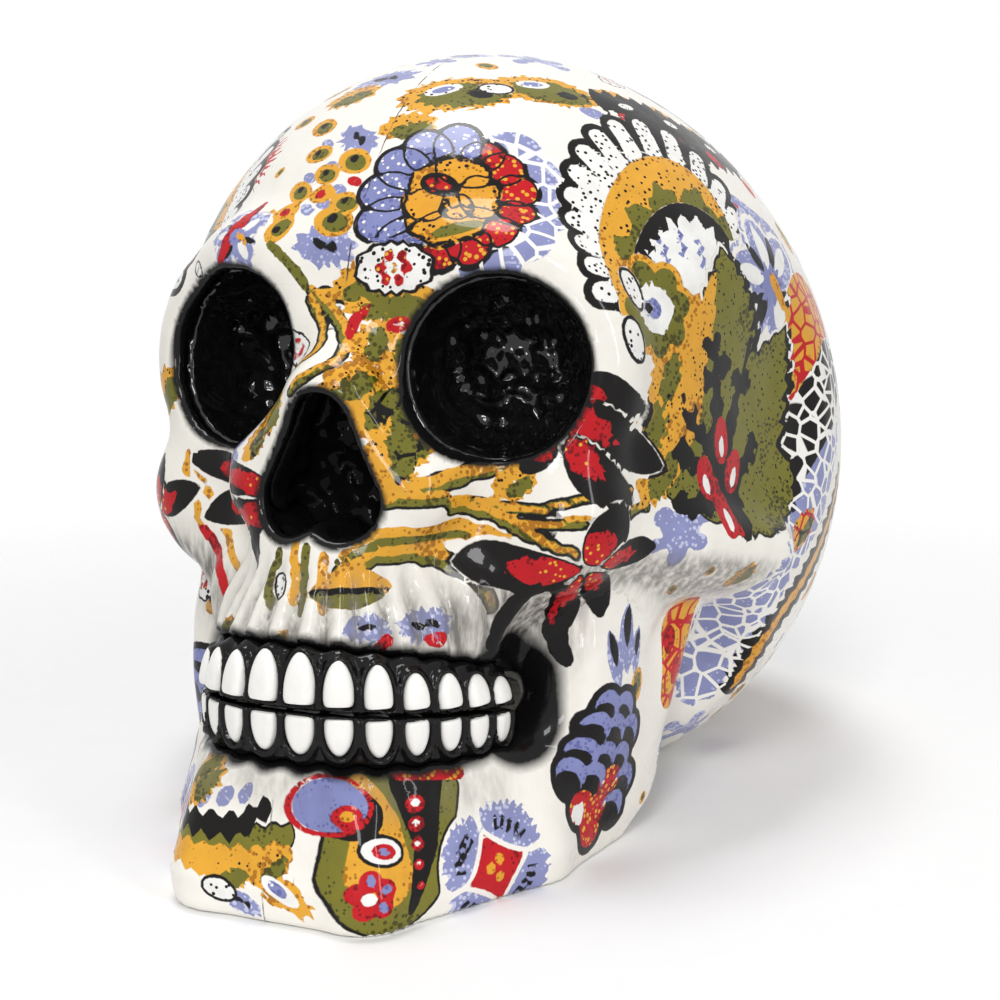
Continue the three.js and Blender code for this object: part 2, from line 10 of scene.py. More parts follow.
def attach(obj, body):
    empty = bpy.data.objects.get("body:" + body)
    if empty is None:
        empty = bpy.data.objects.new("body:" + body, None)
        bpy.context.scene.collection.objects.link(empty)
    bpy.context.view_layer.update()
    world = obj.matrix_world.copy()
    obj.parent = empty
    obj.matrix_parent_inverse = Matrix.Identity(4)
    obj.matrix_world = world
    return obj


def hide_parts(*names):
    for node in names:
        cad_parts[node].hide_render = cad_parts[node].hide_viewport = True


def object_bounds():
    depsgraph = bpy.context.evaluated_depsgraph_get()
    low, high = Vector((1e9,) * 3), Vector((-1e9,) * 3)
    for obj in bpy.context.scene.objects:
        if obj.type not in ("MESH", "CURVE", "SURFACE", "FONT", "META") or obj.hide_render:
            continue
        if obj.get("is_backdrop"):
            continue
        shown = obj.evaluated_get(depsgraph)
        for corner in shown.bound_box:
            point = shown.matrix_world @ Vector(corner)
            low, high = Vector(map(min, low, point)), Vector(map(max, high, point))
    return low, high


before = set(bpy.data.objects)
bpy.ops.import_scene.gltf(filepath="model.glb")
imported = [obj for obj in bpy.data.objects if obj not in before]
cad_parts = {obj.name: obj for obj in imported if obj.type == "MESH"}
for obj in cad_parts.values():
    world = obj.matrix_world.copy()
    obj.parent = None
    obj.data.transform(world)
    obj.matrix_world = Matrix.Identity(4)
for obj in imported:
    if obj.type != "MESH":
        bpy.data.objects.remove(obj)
cad_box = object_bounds()
MM = 0.001
BODY = "root"

# Braincase and hollows, in millimetres, as the frame has them
BRAIN_CENTRE = (0, 12.8, 55.7)
BRAIN_RADII = (55.5, 67.8, 56.6)
BRAIN_LEAN = 46.8
TEMPLE_Y = -19
TEMPLE_RADII = (8, 25, 19)
TEMPLE_HOLLOW = 1.2
EAR_Z = 20
EAR_RADII = (14, 17, 16)
EAR_HOLLOW = 7
REST_FRONT_Y = 5
UNDERSIDE_RISE = 40

# Eye sockets, nose and cheeks
EYE = np.array((20.8, -43.4, 73.2))
SOCKET_RADIUS = 12.4
SOCKET_DEPTH = 21
SOCKET_TURN = math.radians(14)
SOCKET_TIP = math.radians(7)
SOCKET_WALL = 1.2
RIM_RADIUS = 4.2
RIM_OUT = 1.3
NOSE_TOP = 70
NOSE_BASE = 50.6
NOSE_HALF = 8.9
NOSE_FRONT = -59
NOSE_POCKET = 15
CHEEK = EYE + (8.7, 5.9, -21)
CHEEK_RADII = (8.4, 8.4, 9.5)
ARCH_RADIUS = 4.4
ARCH_ROOT_RADIUS = 3.6
ARCH_ROOT_Y = -6
ARCH_ROOT_Z = 42.5

# Dental arch and teeth
BITE_HALF = 23.6
BITE_LENGTH = 33
BITE_BACK_Y = -37
BITE_FRONT_Y = BITE_BACK_Y - BITE_LENGTH
BITE_HEIGHT = 29.1
BITE_FALL = 0.165
SQUARENESS = 2.2
TEETH_PER_SIDE = 7
TOOTH_PITCH = 5.6
TOOTH_WIDTHS = (4.8, 4.5, 4.3, 4.2, 4.3, 4.6, 4.4)
UPPER_HEIGHTS = (7.4, 6.6, 6.3, 5.2, 5.1, 4.7, 4.0)
LOWER_HEIGHTS = (5.8, 5.6, 5.6, 5.3, 4.9, 4.9, 4.5)
TOOTH_DEPTH = 4.6
CROWN_SHARE = 0.94
TOOTH_PROUD = 0.35
BITE_GAP = 1.5
UPPER_TILT = math.radians(11)
GUM_TALL = 8.4
GUM_THICK = 8
GUM_SCALLOP = 0.7

# Jaw
CHIN_HALF = 11
CHIN_FRONT = -74.4
JAW_HALF = 35
JAW_CORNER_Y = -18
JAW_BODY_TALL = 19
JAW_WALL = 6.8
RAMUS_X = 37
RAMUS_TOP = 42
RAMUS_TOP_Y = -7
RAMUS_HALF = 5.5
FULLEST_Z = 5

# How fine the meshes are, and the gap where two pieces meet
HEAD_STEP = 0.9
JAW_STEP = 0.75
LINING_STEP = 0.7
GUM_STEP = 0.48
SEAM_GAP = 0.05
SEAM_LAP = 0.4
LINING_START = 2.6
MIDLINE_ROUND = 0.7


# Fields: a form is a function of arrays of points, negative inside
def join(a, b, soft):
    share = np.clip(0.5 + 0.5 * (b - a) / soft, 0, 1)
    return b + (a - b) * share - soft * share * (1 - share)


def common(a, b, soft):
    return -join(-a, -b, soft)


def ellipsoid(x, y, z, centre, radii, lean=0.0):
    cos, sin = math.cos(math.radians(lean)), math.sin(math.radians(lean))
    dy, dz = y - centre[1], z - centre[2]
    q = (x - centre[0], dy * cos - dz * sin, dz * cos + dy * sin)
    near = np.sqrt(sum((v / r) ** 2 for v, r in zip(q, radii)))
    steep = np.sqrt(sum((v / r**2) ** 2 for v, r in zip(q, radii)))
    return near * (near - 1) / (steep + 1e-9)


def bar(x, y, z, start, end, start_radius, end_radius):
    way = np.subtract(end, start)
    along = ((x - start[0]) * way[0] + (y - start[1]) * way[1] + (z - start[2]) * way[2]) / (way @ way)
    along = np.clip(along, 0, 1)
    away = np.sqrt(
        (x - start[0] - along * way[0]) ** 2
        + (y - start[1] - along * way[1]) ** 2
        + (z - start[2] - along * way[2]) ** 2
    )
    return away - start_radius - (end_radius - start_radius) * along


def lumps(x, y, z, wave):
    """Smooth uneven swell between about -1 and 1, the same at every run."""
    k = 2 * math.pi / wave
    a = np.sin(k * (x + 0.31 * z) + 1.3 * np.sin(k * 0.61 * (y - 0.4 * x)))
    b = np.sin(k * (y - 0.23 * x) + 1.7 * np.sin(k * 0.57 * (z + 0.3 * y)))
    c = np.sin(k * (z + 0.37 * y) + 1.1 * np.sin(k * 0.67 * (x - 0.5 * z)))
    return (a + b + c) / 3


def fade(value, low, high):
    """0 at low, 1 at high, smooth between; low may be the larger."""
    t = np.clip((value - low) / (high - low), 0, 1)
    return t * t * (3 - 2 * t)


# Flat forms in u and v, negative inside
def oval(u, v, centre, radii, turn=0.0):
    cos, sin = math.cos(math.radians(turn)), math.sin(math.radians(turn))
    du, dv = u - centre[0], v - centre[1]
    a, b = (du * cos + dv * sin) / radii[0], (dv * cos - du * sin) / radii[1]
    near = np.hypot(a, b)
    return near * (near - 1) / (np.hypot(a / radii[0], b / radii[1]) + 1e-9)


def drop(u, v, start, end, start_radius, end_radius):
    flat = np.zeros(np.shape(u))
    return bar(u, v, flat, (*start, 0), (*end, 0), start_radius, end_radius)


def lens(u, v, start, end, half):
    """A petal that is pointed at both ends."""
    way = np.subtract(end, start)
    length = math.hypot(*way)
    way = way / length
    middle = np.add(start, end) / 2
    along = (u - middle[0]) * way[0] + (v - middle[1]) * way[1]
    across = (v - middle[1]) * way[0] - (u - middle[0]) * way[1]
    radius = (length**2 / 4 + half**2) / (2 * half)
    shift = radius - half
    return np.maximum(np.hypot(along, across + shift), np.hypot(along, across - shift)) - radius


def spoke(angle, reach):
    return reach * math.cos(math.radians(angle)), reach * math.sin(math.radians(angle))


def saw(value):
    """Sharp teeth between -1 and 1, one each unit."""
    return 4 * np.abs(np.mod(value, 1) - 0.5) - 1


def any_of(*forms):
    return np.minimum.reduce(forms)


def all_of(*forms):
    return np.maximum.reduce(forms)


# Bite line, gums and braincase
def bite_at(y):
    return BITE_HEIGHT - BITE_FALL * (y - BITE_FRONT_Y)


def gum_tall(y, way):
    """Height of a gum band over the bite, which falls as the teeth get shorter."""
    back = y - BITE_FRONT_Y
    tall = GUM_TALL + 0.8 - 0.1 * back if way > 0 else GUM_TALL - 0.5 - 0.04 * back
    return np.maximum(tall, 5.6)


def horseshoe(x, y, inset):
    half = np.maximum(BITE_HALF - inset, 5)
    length = np.maximum(BITE_LENGTH - inset, 8)
    across = np.abs(x) / half
    forward = np.maximum(BITE_BACK_Y - y, 0) / length
    total = across**SQUARENESS + forward**SQUARENESS + 1e-9
    slope = np.hypot(across ** (SQUARENESS - 1) / half, forward ** (SQUARENESS - 1) / length)
    return (total ** (1 / SQUARENESS) - 1) / (slope * total ** (1 / SQUARENESS - 1) + 1e-6)


def braincase(x, y, z):
    return ellipsoid(x, y, z, BRAIN_CENTRE, BRAIN_RADII, BRAIN_LEAN)


def brain_side(y, z):
    """Half width of the braincase at one place on its side."""
    inside, outside = 0.0, 2 * BRAIN_RADII[0]
    for _ in range(30):
        middle = (inside + outside) / 2
        if braincase(middle, y, z) < 0:
            inside = middle
        else:
            outside = middle
    return inside


# The dental arch as a line of points, with the distance along it and the way out of the mouth
ARCH_POINTS = 700
ARCH_CHUNK = 20000
turn = np.pi * (np.linspace(0.004, 0.996, ARCH_POINTS) - 0.5)
arch_xy = np.stack(
    [
        BITE_HALF * np.sign(turn) * np.abs(np.sin(turn)) ** (2 / SQUARENESS),
        BITE_BACK_Y - BITE_LENGTH * np.cos(turn) ** (2 / SQUARENESS),
    ],
    axis=1,
)
arch_tangent = np.gradient(arch_xy, axis=0)
arch_tangent /= np.linalg.norm(arch_tangent, axis=1, keepdims=True)
arch_out = np.stack([arch_tangent[:, 1], -arch_tangent[:, 0]], axis=1)
arch_far = np.concatenate([[0], np.cumsum(np.linalg.norm(np.diff(arch_xy, axis=0), axis=1))])
arch_far -= arch_far[-1] / 2


def arch_place(distance):
    """Point and way out of the arch at a distance from its middle."""
    point = np.array([np.interp(distance, arch_far, arch_xy[:, i]) for i in (0, 1)])
    out = np.array([np.interp(distance, arch_far, arch_out[:, i]) for i in (0, 1)])
    out /= np.linalg.norm(out)
    return np.array([*point, bite_at(point[1])]), np.array([*out, 0.0])


def arch_coordinates(x, y):
    """Distance along the arch and outward from it, for arrays of points."""
    shape = np.shape(x)
    flat = np.stack([np.ravel(x), np.ravel(y)], axis=1)
    along = np.empty(len(flat))
    outward = np.empty(len(flat))
    for start in range(0, len(flat), ARCH_CHUNK):
        span = slice(start, start + ARCH_CHUNK)
        part = flat[span]
        near = np.argmin(((part[:, None] - arch_xy[None, ::4]) ** 2).sum(axis=2), axis=1) * 4
        offset = part - arch_xy[near]
        along[span] = arch_far[near] + (offset * arch_tangent[near]).sum(axis=1)
        outward[span] = (offset * arch_out[near]).sum(axis=1)
    return along.reshape(shape), outward.reshape(shape)


# Cranium and jaw
ARCH_ROOT = (brain_side(ARCH_ROOT_Y, ARCH_ROOT_Z) - 0.5, ARCH_ROOT_Y, ARCH_ROOT_Z)
ARCH_START = CHEEK + (1.5, 3, -2.5)
ARCH_MIDDLE = (CHEEK + ARCH_ROOT) / 2 + (2.6, 0, -0.8)
TEMPLE_Z = EYE[2] - 8
TEMPLE = (brain_side(TEMPLE_Y, TEMPLE_Z) + TEMPLE_RADII[0] - TEMPLE_HOLLOW, TEMPLE_Y, TEMPLE_Z)
EAR_Y = JAW_CORNER_Y + 4
EAR = (brain_side(EAR_Y, EAR_Z) + EAR_RADII[0] - EAR_HOLLOW, EAR_Y, EAR_Z)
BROW_Z = EYE[2] + SOCKET_RADIUS + 2
NOSE_WING = (NOSE_HALF + 1.7, NOSE_FRONT + 7.5, NOSE_BASE + 4.9)
NOSE_SILL = (NOSE_HALF - 1.5, NOSE_FRONT + 4.6, NOSE_BASE - 1)
SKULL_BASE = (0, -15, 45)
SKULL_BASE_RADII = (33, 34, 24)


def eye_rim(x, y, z):
    radius = SOCKET_RADIUS + RIM_OUT
    outward = np.hypot(x - EYE[0], z - EYE[2]) - radius
    mouth = EYE[1] + math.tan(SOCKET_TURN) * (x - EYE[0]) + math.tan(SOCKET_TIP) * (z - EYE[2])
    return np.hypot(outward, y - mouth - RIM_RADIUS + 0.3) - RIM_RADIUS


def upper_ridge(x, y, z):
    above = z - bite_at(y)
    wall = horseshoe(x, y, 2.9 + 0.5 * np.maximum(above - GUM_TALL, 0))
    band = common(wall, np.maximum(gum_tall(y, 1) - 1 - above, above - 24), 3)
    return common(band, y + 12, 3)


def cranium_form(x, y, z):
    side = np.hypot(x, MIDLINE_ROUND)
    rise = math.radians(UNDERSIDE_RISE)
    underside = z * math.cos(rise) + (y - REST_FRONT_Y) * math.sin(rise)
    form = common(braincase(side, y, z), -ellipsoid(side, y, z, TEMPLE, TEMPLE_RADII), 10)
    form = common(form, -ellipsoid(side, y, z, EAR, EAR_RADII), 6)
    form = common(form, -underside, 10)
    form = join(form, eye_rim(side, y, z), 6)
    brow_inner, brow_outer = (2, EYE[1] + 5, BROW_Z), (EYE[0], EYE[1] + 5.8, BROW_Z - 0.5)
    form = join(form, bar(side, y, z, brow_inner, brow_outer, 5.5, 5), 6)
    form = join(form, ellipsoid(side, y, z, CHEEK, CHEEK_RADII), 5)
    arch = np.minimum(
        bar(side, y, z, ARCH_START, ARCH_MIDDLE, ARCH_RADIUS + 0.8, ARCH_RADIUS),
        bar(side, y, z, ARCH_MIDDLE, ARCH_ROOT, ARCH_RADIUS, ARCH_ROOT_RADIUS),
    )
    form = join(form, arch, 5)
    face_bars = (
        ((0, EYE[1] + 4, EYE[2] + 8), (0, NOSE_FRONT + 5.6, NOSE_TOP + 0.8), 4.5, 4.0),
        ((2.5, NOSE_FRONT + 6, NOSE_TOP - 1.3), NOSE_WING, 4.5, 5.8),
        ((0, NOSE_FRONT + 2.4, NOSE_BASE - 2.2), NOSE_SILL, 3.4, 3.6),
        ((6.6, EYE[1] + 4.6, EYE[2] + 6), (12, EYE[1] - 4.2, EYE[2] - 15), 3.5, 5.8),
    )
    for start, end, start_radius, end_radius in face_bars:
        form = join(form, bar(side, y, z, start, end, start_radius, end_radius), 5)
    form = join(form, upper_ridge(side, y, z), 6)
    buttress = bar(side, y, z, (24, CHEEK[1] - 3, CHEEK[2] - 6), (17, CHEEK[1] - 9, CHEEK[2] - 12), 6, 5.5)
    form = join(form, buttress, 8)
    return join(form, ellipsoid(side, y, z, SKULL_BASE, SKULL_BASE_RADII), 8)


def jaw_form(x, y, z):
    side = np.hypot(x, MIDLINE_ROUND)
    corner_x = JAW_HALF - JAW_WALL
    line = (
        (0, CHIN_FRONT + JAW_WALL),
        (CHIN_HALF, CHIN_FRONT + JAW_WALL + 0.2),
        (corner_x - 3.5, JAW_CORNER_Y - 25),
        (corner_x, JAW_CORNER_Y),
    )
    away = None
    for (ax, ay), (bx, by) in zip(line, line[1:]):
        run = (bx - ax) ** 2 + (by - ay) ** 2
        along = np.clip(((side - ax) * (bx - ax) + (y - ay) * (by - ay)) / run, 0, 1)
        leg = np.hypot(side - ax - along * (bx - ax), y - ay - along * (by - ay))
        away = leg if away is None else join(away, leg, 2)
    lean = 0.32 * np.clip(z - FULLEST_Z, 0, JAW_BODY_TALL - FULLEST_Z)
    curl = 0.03 * np.clip(FULLEST_Z - z, 0, 8) ** 2
    form = common(away - JAW_WALL + lean + curl, np.maximum(z - JAW_BODY_TALL, -8 - z), 3)
    below = bite_at(y) - z
    outer = horseshoe(side, y, 2 + 0.2 * np.maximum(below - GUM_TALL, 0))
    band = common(outer, np.maximum(gum_tall(y, -1) - 1 - below, below - 19), 3)
    ridge = common(common(band, -horseshoe(side, y, GUM_THICK + 5), 3), y + 22, 3)
    form = join(form, ridge, 6)
    rear_foot, rear_top = (corner_x + 0.5, JAW_CORNER_Y + 0.5, 11), (RAMUS_X, RAMUS_TOP_Y, RAMUS_TOP)
    form = join(form, bar(side, y, z, rear_foot, rear_top, RAMUS_HALF + 0.3, RAMUS_HALF - 0.5), 6)
    front_foot = (corner_x - 2, JAW_CORNER_Y - 18, 14)
    front_top = (RAMUS_X - 10.5, RAMUS_TOP_Y - 24, RAMUS_TOP)
    form = join(form, bar(side, y, z, front_foot, front_top, RAMUS_HALF, RAMUS_HALF - 1), 6)
    plate = ((corner_x + RAMUS_X) / 2 - 1, JAW_CORNER_Y - 5, 26)
    form = join(form, ellipsoid(side, y, z, plate, (RAMUS_HALF - 0.5, 15, 19)), 6)
    lift = 0.8
    return common(form, (lift * (y - JAW_CORNER_Y + 4) - z) / math.hypot(1, lift), 3)


def socket_bowl(x, y, z, side):
    """Signed distance, near enough, to the inner face of an eye socket."""
    qx, qy, qz = side * x - EYE[0], y - EYE[1], z - EYE[2]
    cos, sin = math.cos(SOCKET_TURN), math.sin(SOCKET_TURN)
    across, inward = qx * cos + qy * sin, qy * cos - qx * sin
    cos, sin = math.cos(SOCKET_TIP), math.sin(SOCKET_TIP)
    inward, upward = inward * cos - qz * sin, qz * cos + inward * sin
    deep = np.maximum(inward, 0) / SOCKET_DEPTH
    flare = 0.06 * np.maximum(-inward, 0)
    reach = np.hypot(across, upward) / SOCKET_RADIUS
    full = 2.5
    return ((reach**full + deep**full) ** (1 / full) - 1) * SOCKET_RADIUS - flare


def nose_bowl(x, y, z):
    """Signed distance, near enough, to the inner face of the nose: an upside-down heart, rounded behind."""
    side = np.abs(x)
    flat = np.zeros(np.shape(x))
    lobe = 4.7
    tip = 3.9
    foot, top = (NOSE_HALF - lobe, 0, NOSE_BASE + lobe), (0, 0, NOSE_TOP - tip)
    form = bar(side, flat, z, foot, top, lobe, tip)
    form = join(form, bar(side, flat, z, (0, 0, NOSE_BASE + 7), top, lobe, tip), 1.5)
    return common(form, y - NOSE_FRONT - NOSE_POCKET, 6)


def root_ridges(x, y, z):
    """Swell of the tooth roots over the gums, above and below."""
    near = (y < BITE_BACK_Y + 4) & (np.abs(z - bite_at(y)) < 24) & (np.abs(horseshoe(x, y, 0)) < 14)
    out = np.zeros(np.shape(x))
    if not near.any():
        return out
    along, _ = arch_coordinates(x[near], y[near])
    height = z[near] - bite_at(y[near])
    beat = 0.5 - 0.5 * np.cos(2 * np.pi * along / TOOTH_PITCH)
    over = height - gum_tall(y[near], 1)
    upper = 1.5 * fade(over, -1.2, 1.2) * fade(height, 23, 13)
    lower = 0.5 * fade(-height, 8, 10) * fade(-height, 17, 12)
    out[near] = (beat**0.7 - 0.5) * (upper + lower) * fade(np.abs(along), 40, 34)
    return out


def whole_form(x, y, z):
    """Cranium and jaw as one skin, with each piece's own share of it."""
    head, chin = cranium_form(x, y, z), jaw_form(x, y, z)
    form = join(head, chin, 4) - root_ridges(x, y, z) + 0.07 * lumps(x, y, z, 7.0)
    return np.maximum(form, -z), (head - chin) / 2


def gum_form(x, y, z, way, grow=0.0):
    """Gum band over (way 1) or under (way -1) the bite, ridged between the teeth."""
    height = way * (z - bite_at(y))
    near = (y < BITE_BACK_Y + 14) & (np.abs(height - 4) < 8) & (np.abs(horseshoe(x, y, 0)) < 13)
    out = np.full(np.shape(x), 5.0)
    if near.any():
        out[near] = gum_near(x[near], y[near], height[near], way) - grow
    return out


def gum_near(x, y, height, way):
    """Band with a raised rim round the outline of each tooth."""
    along, outward = arch_coordinates(x, y)
    number = np.clip(np.abs(along) // TOOTH_PITCH, 0, TEETH_PER_SIDE - 1).astype(int)
    tall = 0.95 * np.array(UPPER_HEIGHTS if way > 0 else LOWER_HEIGHTS)[number]
    half = CROWN_SHARE * np.array(TOOTH_WIDTHS)[number] / 2
    across = np.abs(along) - (number + 0.5) * TOOTH_PITCH
    rise = height - BITE_GAP / 2
    root = oval(across, rise, (0, 0.3 * tall), (half, 0.7 * tall))
    outline = np.where(rise > 0.3 * tall, root, np.maximum(np.abs(across) - half, -rise))
    swell = 0.5 - 0.5 * np.cos(2 * np.pi * along / TOOTH_PITCH)
    edge = gum_tall(y, way) - GUM_SCALLOP * (1 - swell)
    lean = math.tan(UPPER_TILT) if way > 0 else 0.0
    rim = np.exp(-((outline - 0.45) / 0.5) ** 2)
    face = -0.85 + 1.2 * rim - lean * np.maximum(height, 0)
    form = common(outward - face, height - edge, 0.9)
    form = common(form, 0.35 - height, 0.5)
    end = (TEETH_PER_SIDE + 0.25) * TOOTH_PITCH
    form = common(form, np.abs(along) - end, 1.5)
    return np.maximum(form, -outward - GUM_THICK)


# Meshes from fields
def skin(field, low, high, step):
    """Vertices and quads where a field is zero: one vertex in each crossed grid cell, drawn onto it."""
    axes = [np.arange(a, b + step, step) for a, b in zip(low, high)]
    grid = np.meshgrid(*axes, indexing="ij")
    slab = 24
    values = np.concatenate([field(*(g[i:i + slab] for g in grid)) for i in range(0, len(axes[0]), slab)])
    inside = values < 0
    corners = [np.array(c) for c in np.ndindex(2, 2, 2)]
    size = np.array(inside.shape) - 1
    shifted = [inside[tuple(slice(c[i], c[i] + size[i]) for i in range(3))] for c in corners]
    count = sum(part.astype(np.int8) for part in shifted)
    crossed = (count > 0) & (count < 8)
    cells = np.argwhere(crossed)
    slot = np.full(crossed.shape, -1)
    slot[crossed] = np.arange(len(cells))
    total = np.zeros((len(cells), 3))
    hits = np.zeros(len(cells))
    unit = np.eye(3, dtype=int)
    for a in corners:
        for axis in range(3):
            if a[axis]:
                continue
            va = values[tuple((cells + a).T)]
            vb = values[tuple((cells + a + unit[axis]).T)]
            cut = (va < 0) != (vb < 0)
            share = np.where(cut, va / np.where(cut, va - vb, 1), 0)
            total += cut[:, None] * (a + share[:, None] * unit[axis])
            hits += cut
    points = np.array(low) + (cells + total / hits[:, None]) * step
    quads = []
    for axis in range(3):
        u, w = (axis + 1) % 3, (axis + 2) % 3
        first = np.take(inside, range(inside.shape[axis] - 1), axis)
        second = np.take(inside, range(1, inside.shape[axis]), axis)
        nodes = np.argwhere(first != second)
        for other in (u, w):
            nodes = nodes[(nodes[:, other] > 0) & (nodes[:, other] < size[other])]
        shifts = (0, unit[u], unit[u] + unit[w], unit[w])
        ring = np.stack([slot[tuple((nodes - s).T)] for s in shifts], axis=1)
        outside = ~first[tuple(nodes.T)]
        ring[outside] = ring[outside][:, ::-1]
        quads.append(ring)
    quads = np.concatenate(quads)
    for _ in range(2):
        points = settled(evened(points, quads), field, step)
    return points, quads


def evened(points, quads):
    """Each point moved part of the way to its neighbours' middle."""
    starts, ends = quads.ravel(), np.roll(quads, -1, axis=1).ravel()
    both = np.concatenate([starts, ends])
    far = np.concatenate([ends, starts])
    count = np.bincount(both, minlength=len(points))[:, None]
    middle = np.stack([np.bincount(both, points[far, i], len(points)) for i in range(3)], axis=1) / count
    return points + 0.6 * (middle - points)


def settled(points, field, step):
    """Points moved along the field's slope onto its surface."""
    reach = 0.04
    value = field(*points.T)
    slope = np.stack([(field(*(points + reach * e).T) - value) / reach for e in np.eye(3)], axis=1)
    move = -slope * (value / np.maximum((slope**2).sum(axis=1), 0.3))[:, None]
    length = np.linalg.norm(move, axis=1, keepdims=True)
    return points + move * np.minimum(1, 0.6 * step / np.maximum(length, 1e-9))


def placed(name, data):
    """A new object in the scene."""
    made = bpy.data.objects.new(name, data)
    bpy.context.collection.objects.link(made)
    return made


def piece(name, points, faces, material, slot, *nodes):
    """A smooth mesh piece in the frame, in place of the CAD nodes named."""
    mesh = bpy.data.meshes.new(name)
    mesh.from_pydata((np.asarray(points) * MM).tolist(), [], [tuple(face) for face in faces])
    mesh.shade_smooth()
    mesh.materials.append(material)
    made = placed(name, mesh)
    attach(made, BODY)
    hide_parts(*nodes)
    return made


def head_field(x, y, z):
    form, share = whole_form(x, y, z)
    seat = (SOCKET_WALL + SEAM_GAP) * fade(form, -1.2, -LINING_START + 0.2)
    cut = form
    for side in (1, -1):
        cut = common(cut, seat - socket_bowl(x, y, z, side), 2.0)
    cut = common(cut, seat - nose_bowl(x, y, z), 1.0)
    cut = common(cut, -gum_form(x, y, z, 1, SEAM_GAP), 0.5)
    return np.maximum(cut, share - SEAM_LAP)


def jaw_field(x, y, z):
    form, share = whole_form(x, y, z)
    form = common(form, -gum_form(x, y, z, -1, SEAM_GAP), 0.5)
    return np.maximum(form, -share - SEAM_LAP)


def lining(x, y, z, bowl, rough):
    """Shell round a bowl, uneven inside, that starts below the resin's face."""
    shell = np.maximum(bowl - SOCKET_WALL, -bowl - rough)
    return common(shell, cranium_form(x, y, z) + LINING_START, 0.4)


def socket_field(x, y, z, side):
    rough = 0.7 * lumps(x, y, z, 5.2) + 0.35 * lumps(y, z, x, 2.6)
    return lining(x, y, z, socket_bowl(x, y, z, side), fade(y, EYE[1] + 4, EYE[1] + 15) * rough)


def nose_field(x, y, z):
    rough = 0.55 * lumps(x, y, z, 4.4) + 0.3 * lumps(y, z, x, 2.3)
    return lining(x, y, z, nose_bowl(x, y, z), fade(y, NOSE_FRONT + 5, NOSE_FRONT + 11) * rough)


# Teeth
def tooth_mesh(width, tall):
    """Crown with a flat biting edge and a narrow root; its edge points to -Z and its face to -Y."""
    rings, sides = 20, 28
    corner, full = 0.16, 3.4
    points = [(0, 0, -0.45 * tall)]
    for ring in range(rings):
        t = (1 - math.cos(math.pi * ring / rings)) / 2
        near_edge = max(0, corner - t) / corner
        near_root = max(0, t - 0.28) / 0.72
        girth = (0.78 + 0.22 * math.sqrt(1 - near_edge**2)) * math.sqrt(max(0, 1 - near_root**1.8))
        for i in range(sides):
            around = 2 * math.pi * i / sides
            cos, sin = math.cos(around), math.sin(around)
            reach = (abs(cos) ** full + abs(sin) ** full) ** (-1 / full)
            deep = TOOTH_DEPTH / 2 * girth**0.35 * reach * sin
            points.append((width / 2 * girth * reach * cos, deep, (0.95 * t - 0.45) * tall))
    points.append((0, 0, tall / 2))
    faces = []
    for i in range(sides):
        follow = (i + 1) % sides
        faces.append((0, 1 + follow, 1 + i))
        for ring in range(rings - 1):
            a, b = 1 + ring * sides, 1 + (ring + 1) * sides
            faces.append((a + i, a + follow, b + follow, b + i))
        last = 1 + (rings - 1) * sides
        faces.append((last + i, last + follow, len(points) - 1))
    return points, faces


def tooth_matrix(row, side, number):
    """Seat of one tooth: its place on the arch, turned to face out, the upper ones tilted."""
    point, out = arch_place(side * (number - 0.5) * TOOTH_PITCH)
    tall = (UPPER_HEIGHTS if row == "upper" else LOWER_HEIGHTS)[number - 1]
    way = 1 if row == "upper" else -1
    place = point + out * (TOOTH_PROUD - TOOTH_DEPTH / 2)
    place[2] += way * (BITE_GAP / 2 + tall * 0.45)
    turned = Matrix.Rotation(math.atan2(out[0], -out[1]), 4, "Z")
    if row == "upper":
        turned = turned @ Matrix.Rotation(-UPPER_TILT, 4, "X")
    else:
        turned = turned @ Matrix.Rotation(math.pi, 4, "X") @ Matrix.Rotation(math.pi, 4, "Z")
    return Matrix.Translation(place) @ turned, tall


# Print: ink distances in millimetres at each vertex, negative inside the ink, listed from the bottom up
INKS = (
    "blue", "olive", "orange", "olive_top", "black", "white", "red", "blue_top", "orange_top", "white_top",
)
FAR = 9.0
MARK_LAP = 0.3
RIBBON_POINTS = 12
RIBBON_MARGIN = 5.0
RIBBON_SAW = 2.6
LEAST_STEP = 0.05
FLAT_NEAR = 4.0
STEEPEST_UP = 0.94
LEAST_FACING = 0.1


